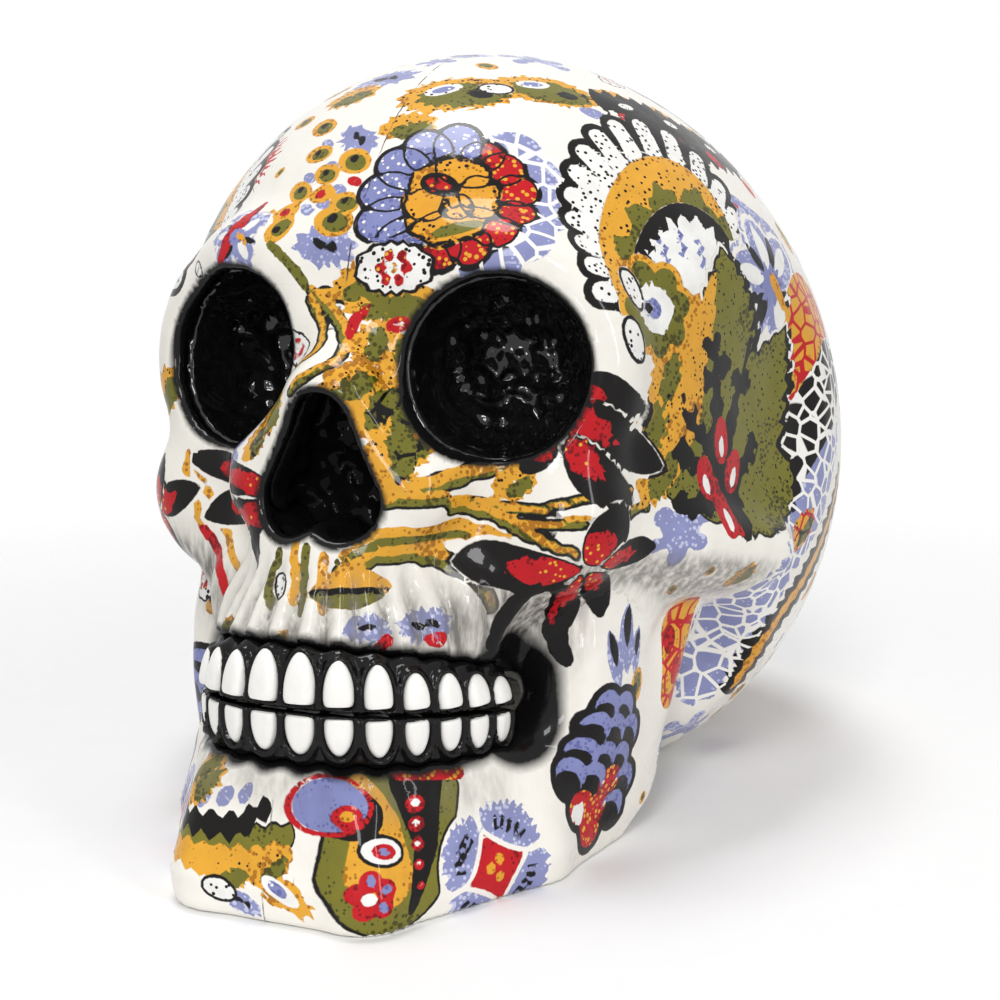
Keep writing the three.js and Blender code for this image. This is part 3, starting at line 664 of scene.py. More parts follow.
class Print:
    """Inks over the vertices of the printed pieces."""

    def __init__(self, points, normals):
        self.points, self.normals = points, normals
        count = len(points)
        self.ink = {name: np.full(count, FAR) for name in INKS}
        self.line = np.full(count, FAR)
        self.dots = np.zeros(count)
        self.net = np.zeros(count)

    def bare(self, spot):
        """Distance from one vertex to the nearest ink."""
        return min(held[spot] for held in self.ink.values())

    def on_surface(self, place):
        return self.points[np.argmin(((self.points - np.array(place)) ** 2).sum(axis=1))]

    def curve(self, places):
        """Points on the surface along a smooth line through places, and each one's share of the way."""
        places = np.array([self.on_surface(place) for place in places])
        legs = len(places) - 1
        knots = np.linspace(0, 1, len(places))
        shares = np.linspace(0, 1, RIBBON_POINTS * len(places))
        ends = np.concatenate([[2 * places[0] - places[1]], places, [2 * places[-1] - places[-2]]])
        spots = []
        for share in shares:
            i = min(int(share * legs), legs - 1)
            f = (share - knots[i]) * legs
            a, b, c, d = ends[i:i + 4]
            bent = (2 * a - 5 * b + 4 * c - d) * f**2 + (3 * b - a - 3 * c + d) * f**3
            spots.append(0.5 * (2 * b + (c - a) * f + bent))
        spots = np.array([self.on_surface(spot) for spot in spots])
        spots[1:-1] = (spots[:-2] + 2 * spots[1:-1] + spots[2:]) / 4
        moved = np.linalg.norm(np.diff(spots, axis=0), axis=1) > LEAST_STEP
        kept = np.concatenate([[True], moved])
        return spots[kept], shares[kept]

    def ribbon(self, places, half, ink, taper=0.6, teeth=0.0, net=False):
        """A stem through places, widest near its middle, with saw edges if teeth are given."""
        spots, shares = self.curve(places)
        margin = half + RIBBON_MARGIN
        low, high = spots.min(axis=0) - margin, spots.max(axis=0) + margin
        near = ((self.points > low) & (self.points < high)).all(axis=1)
        part = self.points[near]
        best = np.full(len(part), FAR)
        for start, end, share in zip(spots, spots[1:], shares):
            swell = math.sin(math.pi * min(max(share, 0.02), 0.98))
            width = half * (1 - taper + taper * swell)
            best = np.minimum(best, bar(*part.T, start, end, width, width))
        way = spots[-1] - spots[0]
        best += 0.5 * teeth * saw(part @ way / np.linalg.norm(way) / RIBBON_SAW)
        self.ink[ink][near] = np.minimum(self.ink[ink][near], best)
        if net:
            self.net[near] = np.where(best < MARK_LAP, 1.0, self.net[near])


class Patch:
    """The print round one place, in flat millimetres: u to the right and v up as seen from outside."""

    def __init__(self, sheet, place, turn, size, reach, mirror):
        self.sheet, self.size = sheet, size
        away = np.linalg.norm(sheet.points - np.array(place, dtype=float), axis=1)
        origin = sheet.points[np.argmin(away)]
        normal = sheet.normals[away < away.min() + FLAT_NEAR].mean(axis=0)
        normal /= np.linalg.norm(normal)
        up = np.array((0, 0, 1.0)) if abs(normal[2]) < STEEPEST_UP else np.array((0, 1.0, 0))
        up -= normal * (up @ normal)
        up /= np.linalg.norm(up)
        right = np.cross(up, normal)
        cos, sin = math.cos(math.radians(turn)), math.sin(math.radians(turn))
        right, up = right * cos + up * sin, up * cos - right * sin
        offset = sheet.points - origin
        facing = sheet.normals @ normal > LEAST_FACING
        self.near = np.flatnonzero((np.linalg.norm(offset, axis=1) < reach * size) & facing)
        self.u = mirror * (offset[self.near] @ right) / size
        self.v = offset[self.near] @ up / size
        self.angle = self.around((0, 0))
        self.far = np.hypot(self.u, self.v)

    def around(self, centre):
        """Angle in degrees round a centre."""
        return np.degrees(np.arctan2(self.v - centre[1], self.u - centre[0]))

    def oval(self, centre, radii, turn=0.0):
        return oval(self.u, self.v, centre, radii, turn)

    def drop(self, start, end, start_radius, end_radius):
        return drop(self.u, self.v, start, end, start_radius, end_radius)

    def lens(self, start, end, half):
        return lens(self.u, self.v, start, end, half)

    def ring(self, angles, reach, radii, centre=(0, 0), turned=True):
        """Ovals round a centre, each turned to point away from it if asked."""
        return [self.oval(np.add(centre, spoke(a, reach)), radii, a if turned else 0) for a in angles]

    def ink(self, name, *forms):
        held = self.sheet.ink[name]
        held[self.near] = np.minimum(held[self.near], any_of(*forms) * self.size)

    def spot(self, name, centre, radii, turn=0.0):
        self.ink(name, self.oval(centre, radii, turn))

    def cut(self, name, form):
        """Takes one ink away inside a form."""
        held = self.sheet.ink[name]
        held[self.near] = np.maximum(held[self.near], -form * self.size)

    def clear(self, form):
        """Takes all earlier ink and marks away inside a form."""
        for name in INKS:
            self.cut(name, form)
        for held, bare in ((self.sheet.line, FAR), (self.sheet.dots, 0), (self.sheet.net, 0)):
            held[self.near] = np.where(form < 0, bare, held[self.near])

    def line(self, form):
        """A thin line along a form's edge; the sign turns over at each edge, so lines may cross."""
        held = self.sheet.line
        old, new = held[self.near], form * self.size
        held[self.near] = np.sign(old) * np.sign(new) * np.minimum(np.abs(old), np.abs(new))

    def dots(self, form, amount):
        self.sheet.dots[self.near] = np.where(form < MARK_LAP, amount, self.sheet.dots[self.near])

    def net(self, form):
        self.sheet.net[self.near] = np.where(form < MARK_LAP, 1.0, self.sheet.net[self.near])


def figure(reach):
    """Makes a drawing on a patch into a figure to be put at a place, turned, sized and mirrored."""
    def made(drawing):
        def put(sheet, place, turn=0, size=1.0, *more, mirror=1):
            drawing(Patch(sheet, place, turn, size, reach, mirror), *more)
        return put
    return made


# Figures, each in millimetres on its own patch
@figure(6)
def teardrop(p, core="black"):
    p.spot("orange", (0, 0), (2.5, 1.8))
    if core == "red":
        p.spot("red", (-0.3, 0.1), (1.0, 1.0))
        return
    p.spot("olive_top", (0.3, -0.1), (1.6, 1.15))
    p.spot("black", (-0.3, 0.25), (0.65, 0.65))


@figure(6)
def blot(p, ink="blue"):
    p.spot(ink, (0, 0), (1.9, 1.1))


@figure(9)
def shrub(p):
    p.ink("blue", p.oval((0, 0), (4.6, 2.6)) + 0.8 * saw(p.angle / 26))
    p.ink("black", p.lens((-2.4, 0.8), (0.4, -0.4), 0.6), p.lens((0.2, 1.1), (2.0, -0.8), 0.55))


@figure(22)
def peony(p):
    """Golden rose with blue scallops on one side, red ruffles on the other and blue lace behind."""
    core = p.oval((-0.5, -0.2), (7.1, 8.2)) + 0.35 * saw(p.angle / 40)
    lace = any_of(*p.ring((-60, -32, -4, 24, 50), 11.4, (4.8, 4.7)))
    frill = p.ring((92, 117, 142, 168, 195, 222), 9.9, (4.4, 3.5))
    ruffle = p.ring((-100, -72, -44, -14, 16, 44, 68), 8.7, (3.1, 2.8), turned=False)
    p.clear(any_of(core, lace, any_of(*frill) - 0.5))
    p.ink("blue", lace)
    p.net(lace)
    for petals, ink, edge, dots in ((frill, "blue_top", 0.55, 0.5), (ruffle, "red", 0.6, 1.0)):
        whole = any_of(*petals)
        p.ink("black", all_of(whole - edge, -core))
        p.ink(ink, all_of(whole, -core))
        p.dots(whole, dots)
        for petal in petals:
            p.line(all_of(petal, -core - 0.3))
    p.ink("orange_top", core)
    folds = (
        p.oval((0.2, -4.4), (6.2, 3.0), 12),
        p.oval((3.6, 0.4), (3.0, 4.2), 20),
        p.oval((-3.9, -0.8), (3.2, 2.9), -30),
        p.oval((0.9, 4.9), (4.2, 2.4), -15),
        p.oval((0.4, -1.2), (2.2, 2.6), 30),
    )
    p.dots(all_of(core, -any_of(*folds[1:4])), 0.55)
    p.line(core + 0.05)
    for fold in folds:
        p.line(all_of(fold, core + 0.5))
    shade = p.oval((0.8, -5.4), (4.0, 1.1), 14)
    heart = p.oval((-2.4, 2.8), (3.0, 2.0), -20)
    p.cut("orange_top", any_of(heart, shade))
    p.ink("orange", core)
    p.ink("olive_top", shade)
    p.ink("black", heart)
    for centre in ((-3.8, 3.4), (-2.2, 3.6), (-1.2, 2.4), (-2.9, 2.1)):
        p.spot("red", centre, (0.75, 0.6), 40)


@figure(9)
def lace_flower(p):
    body = p.oval((0, 0), (5.6, 3.4)) + 0.35 * saw(p.angle / 30)
    p.clear(body - 0.6)
    p.ink("black", body - 0.55)
    p.ink("white", body)
    p.dots(all_of(body, 2.6 - p.far), 1.0)
    p.ink("red", *p.ring(range(0, 360, 60), 2.0, (0.95, 0.8)))
    p.spot("orange_top", (0, 0), (0.8, 0.8))


@figure(36)
def paisley(p):
    """Arch of white dotted scallops round an orange, olive and black crown, open at its foot."""
    centre, long, short, lean = np.array((2.2, -1.2)), 18.0, 12.6, 62
    middle = (4.4, -6.2)
    egg = p.oval(centre, (long, short), lean)
    hole = p.oval(middle, (14.2, 11.0), lean)
    foot = 0.28 * (p.u + 13) - 12 - p.v
    petals = []
    for step in range(16):
        a = -8 + step * 14.2
        t = math.radians(a - lean)
        reach = 1 / math.hypot(math.cos(t) / long, math.sin(t) / short)
        root = centre + spoke(a, reach - 0.8)
        tall = 3.0 + 4.2 * max(0, math.sin(math.radians(a - 4)))
        petals.append(p.drop(root, root + spoke(90 + 0.72 * (a - 90), tall), 1.7, 1.5))
    scallops = any_of(*petals)
    p.clear(any_of(all_of(egg, foot), scallops - 1.2))
    p.ink("black", all_of(scallops - 1.2, -egg))
    p.ink("white", all_of(scallops, -egg))
    p.dots(all_of(scallops, -egg), 0.6)
    p.ink("orange", all_of(egg, -hole, foot))
    p.dots(all_of(egg, -hole), 0.55)
    around = p.around(middle)
    coarse = 1.5 * saw(around / 27) + 0.7 * saw(around / 10)
    p.ink("olive_top", all_of(hole - 2.4 + coarse, -hole, foot))
    p.ink("black", all_of(hole, foot))
    p.dots(hole, 0)
    fine = 1.2 * saw(around / 15) + 0.5 * saw(around / 6)
    p.ink("white", all_of(hole + 2.6 + fine, foot))
    for shift in (0.4, 4.0, 7.6, 11):
        zigzag = np.abs(p.u - shift - 0.6 * saw(p.v / 1.9)) - 0.55
        p.ink("blue_top", all_of(zigzag, np.abs(p.v - 0.6 + 0.12 * (shift - 4) ** 2) - 2.4))


@figure(12)
def fringe_daisy(p):
    outer = any_of(*p.ring(range(0, 360, 45), 4.4, (2.8, 2.1)))
    p.clear(outer - 1.0)
    p.ink("orange", outer - 1.0)
    p.ink("olive_top", outer)
    p.ink("white", p.far - 3.7 - 0.6 * saw(p.angle / 18))
    p.spot("blue_top", (-0.2, 0), (1.9, 1.7))
    pupil = p.oval((-0.8, 0.1), (0.95, 0.95))
    for ink in ("blue_top", "white"):
        p.cut(ink, pupil)
    p.ink("black", pupil)


@figure(6)
def seed(p):
    body = p.oval((0, 0), (1.7, 3.0))
    p.clear(body - 0.55)
    p.ink("black", body - 0.55)
    p.ink("white", body)
    p.dots(body, 0.6)


LEAF_LOBES = (
    ((-1, -16), (2.6, 25), 9.4, 11),
    ((2, -18), (19, 12), 7.6, 9),
    ((1, -16), (19, -9), 6.0, 6),
    ((-1, -15), (-18, 5), 6.6, 7),
)
LEAF_ARMS = (
    ((0, -15), (-1.6, 3), 3.2, 1.7),
    ((-1.6, 3), (-1.8, 12), 1.4, 1.0),
    ((1, -6), (5.4, 3.4), 1.9, 1.2),
    ((1, -11), (9, -6.5), 1.9, 1.3),
    ((-1, -6), (-7.4, -0.6), 1.9, 1.2),
    ((-1, -9), (-10, -5), 1.8, 1.2),
    ((-1, -12), (-11, -12), 1.8, 1.2),
)
LEAF_KNOBS = (
    (4.6, 5.4), (7.6, 4.4), (9.6, -5), (-8.8, 0.8), (-10.8, -3.6),
    (-11.6, -11), (-4.2, 6), (0.9, 7.8), (-3.6, 10.8),
)
LEAF_BUDS = ((-0.2, -3.4, 0), (-5.0, -8.4, 18), (2.8, -8.4, -32), (-2.6, -14, -12))


def saw_lobe(p, start, end, half, teeth):
    """A lobe of a leaf, with pointed teeth that lean to its tip."""
    line = np.subtract(end, start)
    way = line / math.hypot(*line)
    across = np.array((-way[1], way[0]))
    forms = [p.lens(start, end, 0.7 * half)]
    for step in range(1, teeth):
        share = step / teeth
        wide = half * math.sin(math.pi * share**0.8)
        root = start + share * line
        for side in (1, -1):
            forms.append(p.lens(root - 0.32 * wide * way, root + wide * (0.8 * way + side * across), 1.9))
    return any_of(*forms)


@figure(34)
def leaf(p):
    """Leaf with saw edges, a dark branching middle, gold flames along one side and red buds."""
    def blade(shift):
        lobes = [saw_lobe(p, np.add(start, (shift, 0)), np.add(end, (shift, 0)), *more)
                 for start, end, *more in LEAF_LOBES]
        return any_of(*lobes, p.oval((2 + shift, -7), (11, 8.6)))

    body = blade(0)
    p.clear(body - 0.8)
    p.ink("black", all_of(blade(1.8), -body + 0.1))
    p.ink("olive", body)
    p.dots(body, 0.35)
    p.ink("orange", p.lens((-13.5, -6), (-5, 23), 2.6))
    for step in range(5):
        foot = np.array((-11.5 + 1.3 * step, -5 + 4.6 * step))
        p.ink("orange", p.lens(foot, foot + (6.2, 8.5), 1.2))
    p.ink("black", p.drop((8.8, 11), (5.8, 3), 0.7, 0.3))
    branches = [p.drop(*arm) for arm in LEAF_ARMS] + [p.oval(knob, (1.7, 1.6)) for knob in LEAF_KNOBS]
    curl = 0.8 * np.sin(1.7 * p.u + 0.6) * np.cos(1.6 * p.v)
    p.ink("black", any_of(*branches, p.oval((-0.6, -9.6), (5.4, 6.6))) + curl)
    p.ink("red", p.drop((-2.6, -9.5), (-0.8, -17), 0.9, 0.7))
    for x, y, lean in LEAF_BUDS:
        bud = p.oval((x, y), (2.1, 3.6), lean)
        p.ink("red", bud)
        p.dots(bud, 0)
        p.spot("white_top", (x, y - 0.9), (0.75, 1.7), lean)


@figure(22)
def lily(p, petals):
    """Dark petals with red flames at their roots; petals are starts, ends and half widths."""
    for start, end, half in petals:
        petal = p.lens(start, end, half)
        p.clear(petal - 0.5)
        p.ink("black", petal)
        root, way = np.array(start), np.subtract(end, start)
        flame = p.lens(root - 0.1 * way, root + 0.62 * way, 0.74 * half) + 0.55 * saw(p.around(root) / 8)
        p.ink("red", all_of(flame, petal + 0.3))
        p.dots(p.lens(root, root + 0.36 * way, 0.5 * half), 0.5)


@figure(20)
def berry(p):
    """Fruit of overlapping scales, dark blue above and red with white dots below."""
    scales = []
    for row in range(6):
        for column in range(-2, 3):
            x = 4.1 * column + (1.6 if row % 2 else -0.4) + 0.4 * row
            y = 8.6 - 3.7 * row - 0.8 * column
            if math.hypot((x - 0.6) / 7.0, (y + 0.4) / 10.4) < 1:
                scales.append((x, y))
    body = any_of(*(p.oval(scale, (3.2, 3.1)) for scale in scales))
    p.clear(body - 0.7)
    p.ink("black", body - 0.5)
    for x, y in scales:
        if y > -2.5 or x > 4:
            p.ink("blue_top", all_of(p.oval((x, y), (2.7, 2.6)), -p.oval((x - 0.8, y - 1.4), (2.7, 2.3))))
        else:
            scale = p.oval((x, y), (2.6, 2.4))
            p.ink("red", scale)
            p.dots(scale, 1.0)
    star = (-3.4, -6.2)
    reach = np.hypot(p.u - star[0], p.v - star[1])
    p.ink("white_top", reach - 1.5 - 0.4 * saw(p.around(star) / 30))


@figure(14)
def daisy(p):
    """Four blue saw-edged petals round a red four-point star with gold stamens."""
    p.clear(p.far - 10.4)
    wedge = np.abs(np.mod(p.angle, 90) - 45)
    side = np.radians(wedge - 41) * p.far
    rim = p.far - 9.8 - 0.8 * saw(p.angle / 7.5) + 0.03 * wedge
    star = (np.abs(p.u) + 0.1) ** 0.8 + (np.abs(p.v) + 0.1) ** 0.8 - 4.1
    p.ink("blue", all_of(side, rim, 0.7 - star))
    for a in (45, 135, 225, 315):
        for lean in (-22, -11, 0, 11, 22):
            p.ink("black", p.drop(spoke(a + lean, 5.6), spoke(a + lean, 7.2), 0.3, 0.38))
    p.ink("red", star)
    for centre in ((1.0, 1.2), (-1.0, 0.6), (0.2, -1.2)):
        p.spot("orange_top", centre, (0.8, 0.8))


@figure(24)
def tail(p):
    """Chin figure: an orange drop with small flowers, a dark stripe and an olive edge round both."""
    body = any_of(p.drop((-0.8, -1.4), (-0.4, 4), 4.9, 3.6), p.drop((-0.4, 4), (-1.2, 10.5), 3.4, 1.4))
    stripe = any_of(p.drop((3.2, -7.2), (6.8, 1.0), 0.7, 1.9), p.drop((6.8, 1.0), (6.6, 9), 1.9, 4.2))
    skirt = any_of(body - 2.4, p.oval((1.0, -2.4), (8.6, 7.0), 24), p.drop((8.8, -3), (11.6, 8), 1.6, 1.3))
    p.clear(any_of(skirt, stripe) - 0.8)
    p.ink("olive", skirt)
    p.ink("orange", body)
    p.ink("black", stripe)
    for i in range(5):
        x, y = 5.9 - 0.25 * i, 6.6 - 2.7 * i
        p.spot("red", (x, y), (1.5 - 0.2 * i, 1.2 - 0.16 * i))
        p.spot("white_top", (x, y + 0.1), (0.75 - 0.1 * i, 0.55 - 0.08 * i))
    bloom = (-2.6, -4.3)
    p.ink("red", *p.ring(range(18, 378, 72), 2.0, (1.55, 1.45), bloom, turned=False))
    p.ink("blue_top", *p.ring((18, 90, 306), 2.1, (0.9, 0.6), bloom))
    p.spot("white_top", (-3.2, -4.6), (1.1, 0.85))
    eye = p.oval((-0.4, 1.3), (3.0, 1.7), -14)
    p.ink("black", eye - 0.5)
    p.ink("white", eye)
    p.spot("red", (-0.2, 1.2), (1.9, 1.05), -14)
    p.spot("blue_top", (-0.2, 1.2), (0.95, 0.55), -14)
    disc = p.oval((-5.2, 8.4), (3.9, 3.6), -20)
    pip = p.oval((-4.0, 6.6), (1.6, 1.5))
    p.spot("black", (-3.6, 6.8), (4.2, 3.4), -30)
    p.ink("red", all_of(disc - 0.7, -disc), pip)
    p.ink("blue_top", all_of(disc, -pip))
    p.spot("orange_top", (-4.0, 6.6), (0.8, 0.75))
    arch = p.drop((4.5, 11.4), (13.5, 9.6), 1.4, 1.0)
    p.ink("red", arch)
    p.dots(arch, 1.0)


@figure(14)
def fan(p):
    spread = np.radians(np.abs(p.angle) - 66) * p.far
    rows = (("red", 3.2, 7.2 + 2.0 * saw(p.angle / 10)), ("white", 3.2, 4.0), ("olive", 2.0, 3.0))
    for ink, low, high in rows:
        p.ink(ink, all_of(p.far - high, low - p.far, spread))


@figure(16)
def blue_flower(p):
    body = any_of(*p.ring((35, 95, 160, 222, 295), 4.8, (4.4, 3.1)))
    p.clear(body - 1.6)
    p.ink("blue", all_of(body - 1.4, 0.8 - body), body)
    for a in (35, 95, 160, 295):
        p.ink("white", p.lens(spoke(a, 1.6), spoke(a, 8.4), 1.3))
    for a, half in ((222, 2.0), (66, 0.9), (128, 0.8), (330, 0.9)):
        p.ink("black", p.lens(spoke(a, 1.8), spoke(a, 7.6), half))
    p.ink("blue_top", p.far - 2.6 - 0.9 * saw(p.angle / 36))
    p.ink("orange_top", p.drop((0.6, 0.6), (3.0, -3.2), 1.0, 0.6))


@figure(28)
def mesh_net(p, start, end, half, ink, rim=None):
    """A netted drop, set off to one side on a rim of another ink if one is given."""
    body = p.drop(start, end, half, 0.75 * half)
    p.clear(body)
    if rim:
        p.ink(rim, body)
        aside = (-1.6, 0.8)
        body = p.drop(np.add(start, aside), np.add(end, aside), half, 0.7 * half)
        p.cut(rim, body)
    p.ink(ink, body)
    p.net(body)


@figure(10)
def sprig(p):
    body = p.oval((0, 0), (6.0, 3.2)) + 0.5 * saw(p.angle / 15)
    p.ink("orange", body)
    p.dots(body, 0.5)
    p.ink("olive_top", p.oval((0.6, -0.3), (4.6, 2.3)) + 0.5 * saw(p.angle / 18))
    p.ink("black", p.oval((2.4, -0.4), (1.5, 0.7)) + 0.3 * saw(p.angle / 12))
    p.spot("white", (-1.4, 0.9), (2.0, 1.0), 12)
    p.spot("blue_top", (-1.4, 0.9), (1.2, 0.6), 12)


@figure(10)
def coral(p):
    for a, reach in ((80, 4.8), (150, 3.8), (20, 4.2), (250, 4.2), (310, 3.2)):
        tip = spoke(a, reach)
        p.ink("blue", p.drop((0, 0), tip, 1.3, 0.9), p.oval(tip, (1.6, 1.3)))


@figure(9)
def eye_leaf(p):
    body = p.lens((-6.2, -0.4), (6.2, 0.6), 3.0)
    p.ink("orange", body)
    p.ink("olive_top", all_of(body, p.v - 0.3))
    p.ink("black", all_of(body, np.abs(p.v + 0.2) - 0.5))


@figure(9)
def bud_spray(p):
    for a in (55, 90, 125):
        petal = p.drop(spoke(a, 1.6), spoke(a, 4.6), 1.0, 1.5)
        p.ink("black", petal - 0.45)
        p.ink("red", petal)
        p.spot("white_top", spoke(a, 4.2), (0.65, 1.0), a - 90)
    p.ink("olive", p.drop((0, 1.2), (0.6, -5), 0.9, 0.6))


@figure(12)
def gold_patch(p, veined=False):
    """Broken orange and olive leaf, with a net of dark veins if asked."""
    body = p.oval((0, 0), (5.4, 3.6)) + 0.8 * saw(p.angle / 31)
    p.ink("orange", body)
    blade = p.oval((0.6, -1.2), (4.0, 2.0), 10) + 0.7 * saw(p.angle / 23)
    p.ink("olive_top", blade)
    if veined:
        p.net(blade + 0.8)
    else:
        p.dots(body, 0.32)


@figure(12)
def spike(p):
    p.ink("blue", p.lens((-5.5, 0), (5.5, 0.4), 1.9))
    p.ink("black", p.lens((-1.5, 0), (5.2, 0.2), 1.0))


@figure(9)
def fringe(p):
    p.ink("orange", p.oval((0, 0), (6.2, 2.6)) + 0.9 * saw(p.angle / 9))
    p.spot("white", (-0.6, 0), (4.2, 1.5))
    p.spot("blue_top", (-1.2, 0.1), (2.2, 0.9))


LILY_BY_EYE = (
    ((-3.6, 2.6), (5.8, 6.6), 3.2),
    ((-3.6, 1.2), (7.2, -0.6), 3.4),
    ((-2.6, -1), (4.6, -10), 3.0),
    ((-4, -1.4), (-8.4, -7), 2.2),
)
LILY_ON_CHEEK = (
    ((0.6, -1.6), (-17, -3.2), 3.0),
    ((0.2, -0.8), (7.0, 6.0), 3.8),
    ((0.4, -2), (0.2, -15), 2.5),
    ((1.2, -2.2), (7.4, -11), 2.4),
    ((3.0, -1.6), (13.5, -1.2), 2.5),
)
LILY_BY_NOSE = (((3, 0.4), (-10, 2.8), 2.3), ((3, -1.6), (-7.5, -6.2), 2.5))
LILY_PLAIN = (
    ((0, 0), (9, 4), 2.9),
    ((0, 0), (2, -10), 2.9),
    ((0, 0), (-9.5, 1.5), 2.9),
    ((0, 0), (-1, 9), 2.6),
)


def scatter(sheet, drawn, *rows):
    """One figure at several places; a row is a place, a turn, a size and whatever else the figure takes."""
    for row in rows:
        drawn(sheet, *row)


def draw_forehead(sheet):
    scatter(
        sheet, teardrop,
        ((-19.7, -23.5, 107.3), 20, 0.9), ((-13.8, -28.7, 106.4), -10, 1.1),
        ((-11.8, -33.8, 102.7), 10, 1.0), ((-4.9, -36.6, 101.6), -25, 1.25),
        ((-8.6, -37.4, 99.7), -20, 1.0), ((-12.2, -38.7, 97.0), -30, 1.0),
        ((-8.0, -39.8, 97.0), 10, 0.9, "red"), ((-3.3, -41.8, 95.5), -12, 1.1),
        ((-13.1, -41.2, 94.2), 40, 0.9, "red"), ((-17.0, -41.0, 93.5), 70, 0.85),
        ((-13.2, -43.4, 91.8), 60, 1.1), ((-4.4, -43.4, 93.3), -15, 1.4),
    )
    scatter(
        sheet, blot,
        ((-10.6, -33.1, 103.8), -30, 0.8), ((-7.6, -36.7, 100.9), -30, 0.8), ((-11.4, -37.1, 99.1), -20, 0.8),
        ((-5.3, -39.8, 97.6), -25, 0.8), ((-7.0, -41.4, 95.4), -5, 0.8), ((-9.9, -41.6, 94.5), -35, 0.8),
    )
    blot(sheet, (-3.5, -39.1, 98.7), -20, 0.75, "red")
    fan(sheet, (-29, -24.5, 99.5), 24, 1.1)
    blue_flower(sheet, (-20.6, -42.8, 90.8), 20, 0.55)
    sheet.ribbon(((-19, -38, 95.8), (-21.6, -41.6, 91.4), (-23.4, -43.6, 87)), 1.2, "red")
    scatter(sheet, shrub, ((-4.7, -45.4, 89.7), -8, 1.1), ((-5.2, -33.3, 104.9), -30, 0.9),
            ((-8.3, -18.7, 113.8), 20, 1.2))
    gold_patch(sheet, (-12, -22, 111), 20, 0.9)
    peony(sheet, (12.2, -39.4, 96.2))
    gold_patch(sheet, (1.5, -31.9, 106.6), 10, 0.8)
    gold_patch(sheet, (2.4, -47.4, 85.6), 0, 0.8)
    lace_flower(sheet, (6.2, -46.4, 87.1))
    sprig(sheet, (6.4, -24, 111.4), 8, 1.5)
    sprig(sheet, (17, -16.5, 112), -18, 1.35)
    seed(sheet, (11.4, -21.4, 112), 80, 0.8)
    crown = ((24, -10, 110.4), (30, -4, 107.5), (34.4, 1.2, 104.8), (37.8, 12.4, 101))
    sheet.ribbon(crown, 5.6, "black", 0.5, 2.4)
    tufts = (((25, -6, 110), -40), ((30, 1, 107), -60), ((34, 8, 103.5), -70), ((38, 15, 99), -80))
    for place, lean in tufts:
        gold_patch(sheet, place, lean, 0.7)
        blot(sheet, np.add(place, (3.2, -4.4, -2.0)), lean, 1.1, "red")
        blot(sheet, np.add(place, (1.6, -1.2, 0)), lean + 30, 0.8, "white")
    blot(sheet, (25, -16, 108.6), -30, 1.3)
    sheet.ribbon(((36, -8, 99.5), (42.5, 0, 94.2), (46, 9, 90)), 1.5, "blue")
    sheet.ribbon(((35, -9, 98.4), (41.5, -1.5, 93.2), (45, 7, 89)), 0.8, "red")


def draw_temple(sheet, side):
    """Side of the braincase; side is 1 on the skull's left."""
    def at(x, y, z):
        return side * x, y, z

    paisley(sheet, at(37.4, -23.6, 89.1), mirror=side)
    blue_flower(sheet, at(48.4, -0.5, 83), 0, 1.15)
    mesh_net(sheet, at(51.9, 8, 69.9), 0, 1.0, (side * 2.5, 5), (side * -1.4, -7), 8.2, "orange", "red")
    mesh_net(sheet, at(52.2, 5.3, 56.7), 0, 1.0, (side * 11, 12), (side * -11, -9), 5.4, "black")
    leaf(sheet, at(45.1, -15.2, 63.7), mirror=side)
    scatter(sheet, gold_patch, (at(40.5, -29, 71), 60, 0.95), (at(39, -32, 64.2), 80, 0.9),
            (at(39.6, -30, 57.4), 40, 1.0))
    fringe_daisy(sheet, at(38.8, -28.8, 81.4))
    seed(sheet, at(36.4, -31.9, 83.8))
    seed(sheet, at(38.1, -35.4, 76.9), 12)
    coral(sheet, at(43, -27.4, 49.6))
    low = (at(54, 14, 58), at(53.6, 6, 47), at(50, -3, 39.5), at(42.5, 0.5, 29), at(37, 2.4, 18))
    sheet.ribbon(low, 6.2, "blue", 0.35, 1.4, True)
    edge = (at(55, 22, 50), at(53, 14, 38), at(47, 6.5, 29), at(40, 8, 18))
    for share, ink in ((1.0, "black"), (0.66, "olive_top"), (0.34, "orange_top")):
        sheet.ribbon(edge, 4.2 * share, ink, 0.35, 2.4 * share)
    gold_patch(sheet, at(53.4, 3.2, 44), 30, 0.8)


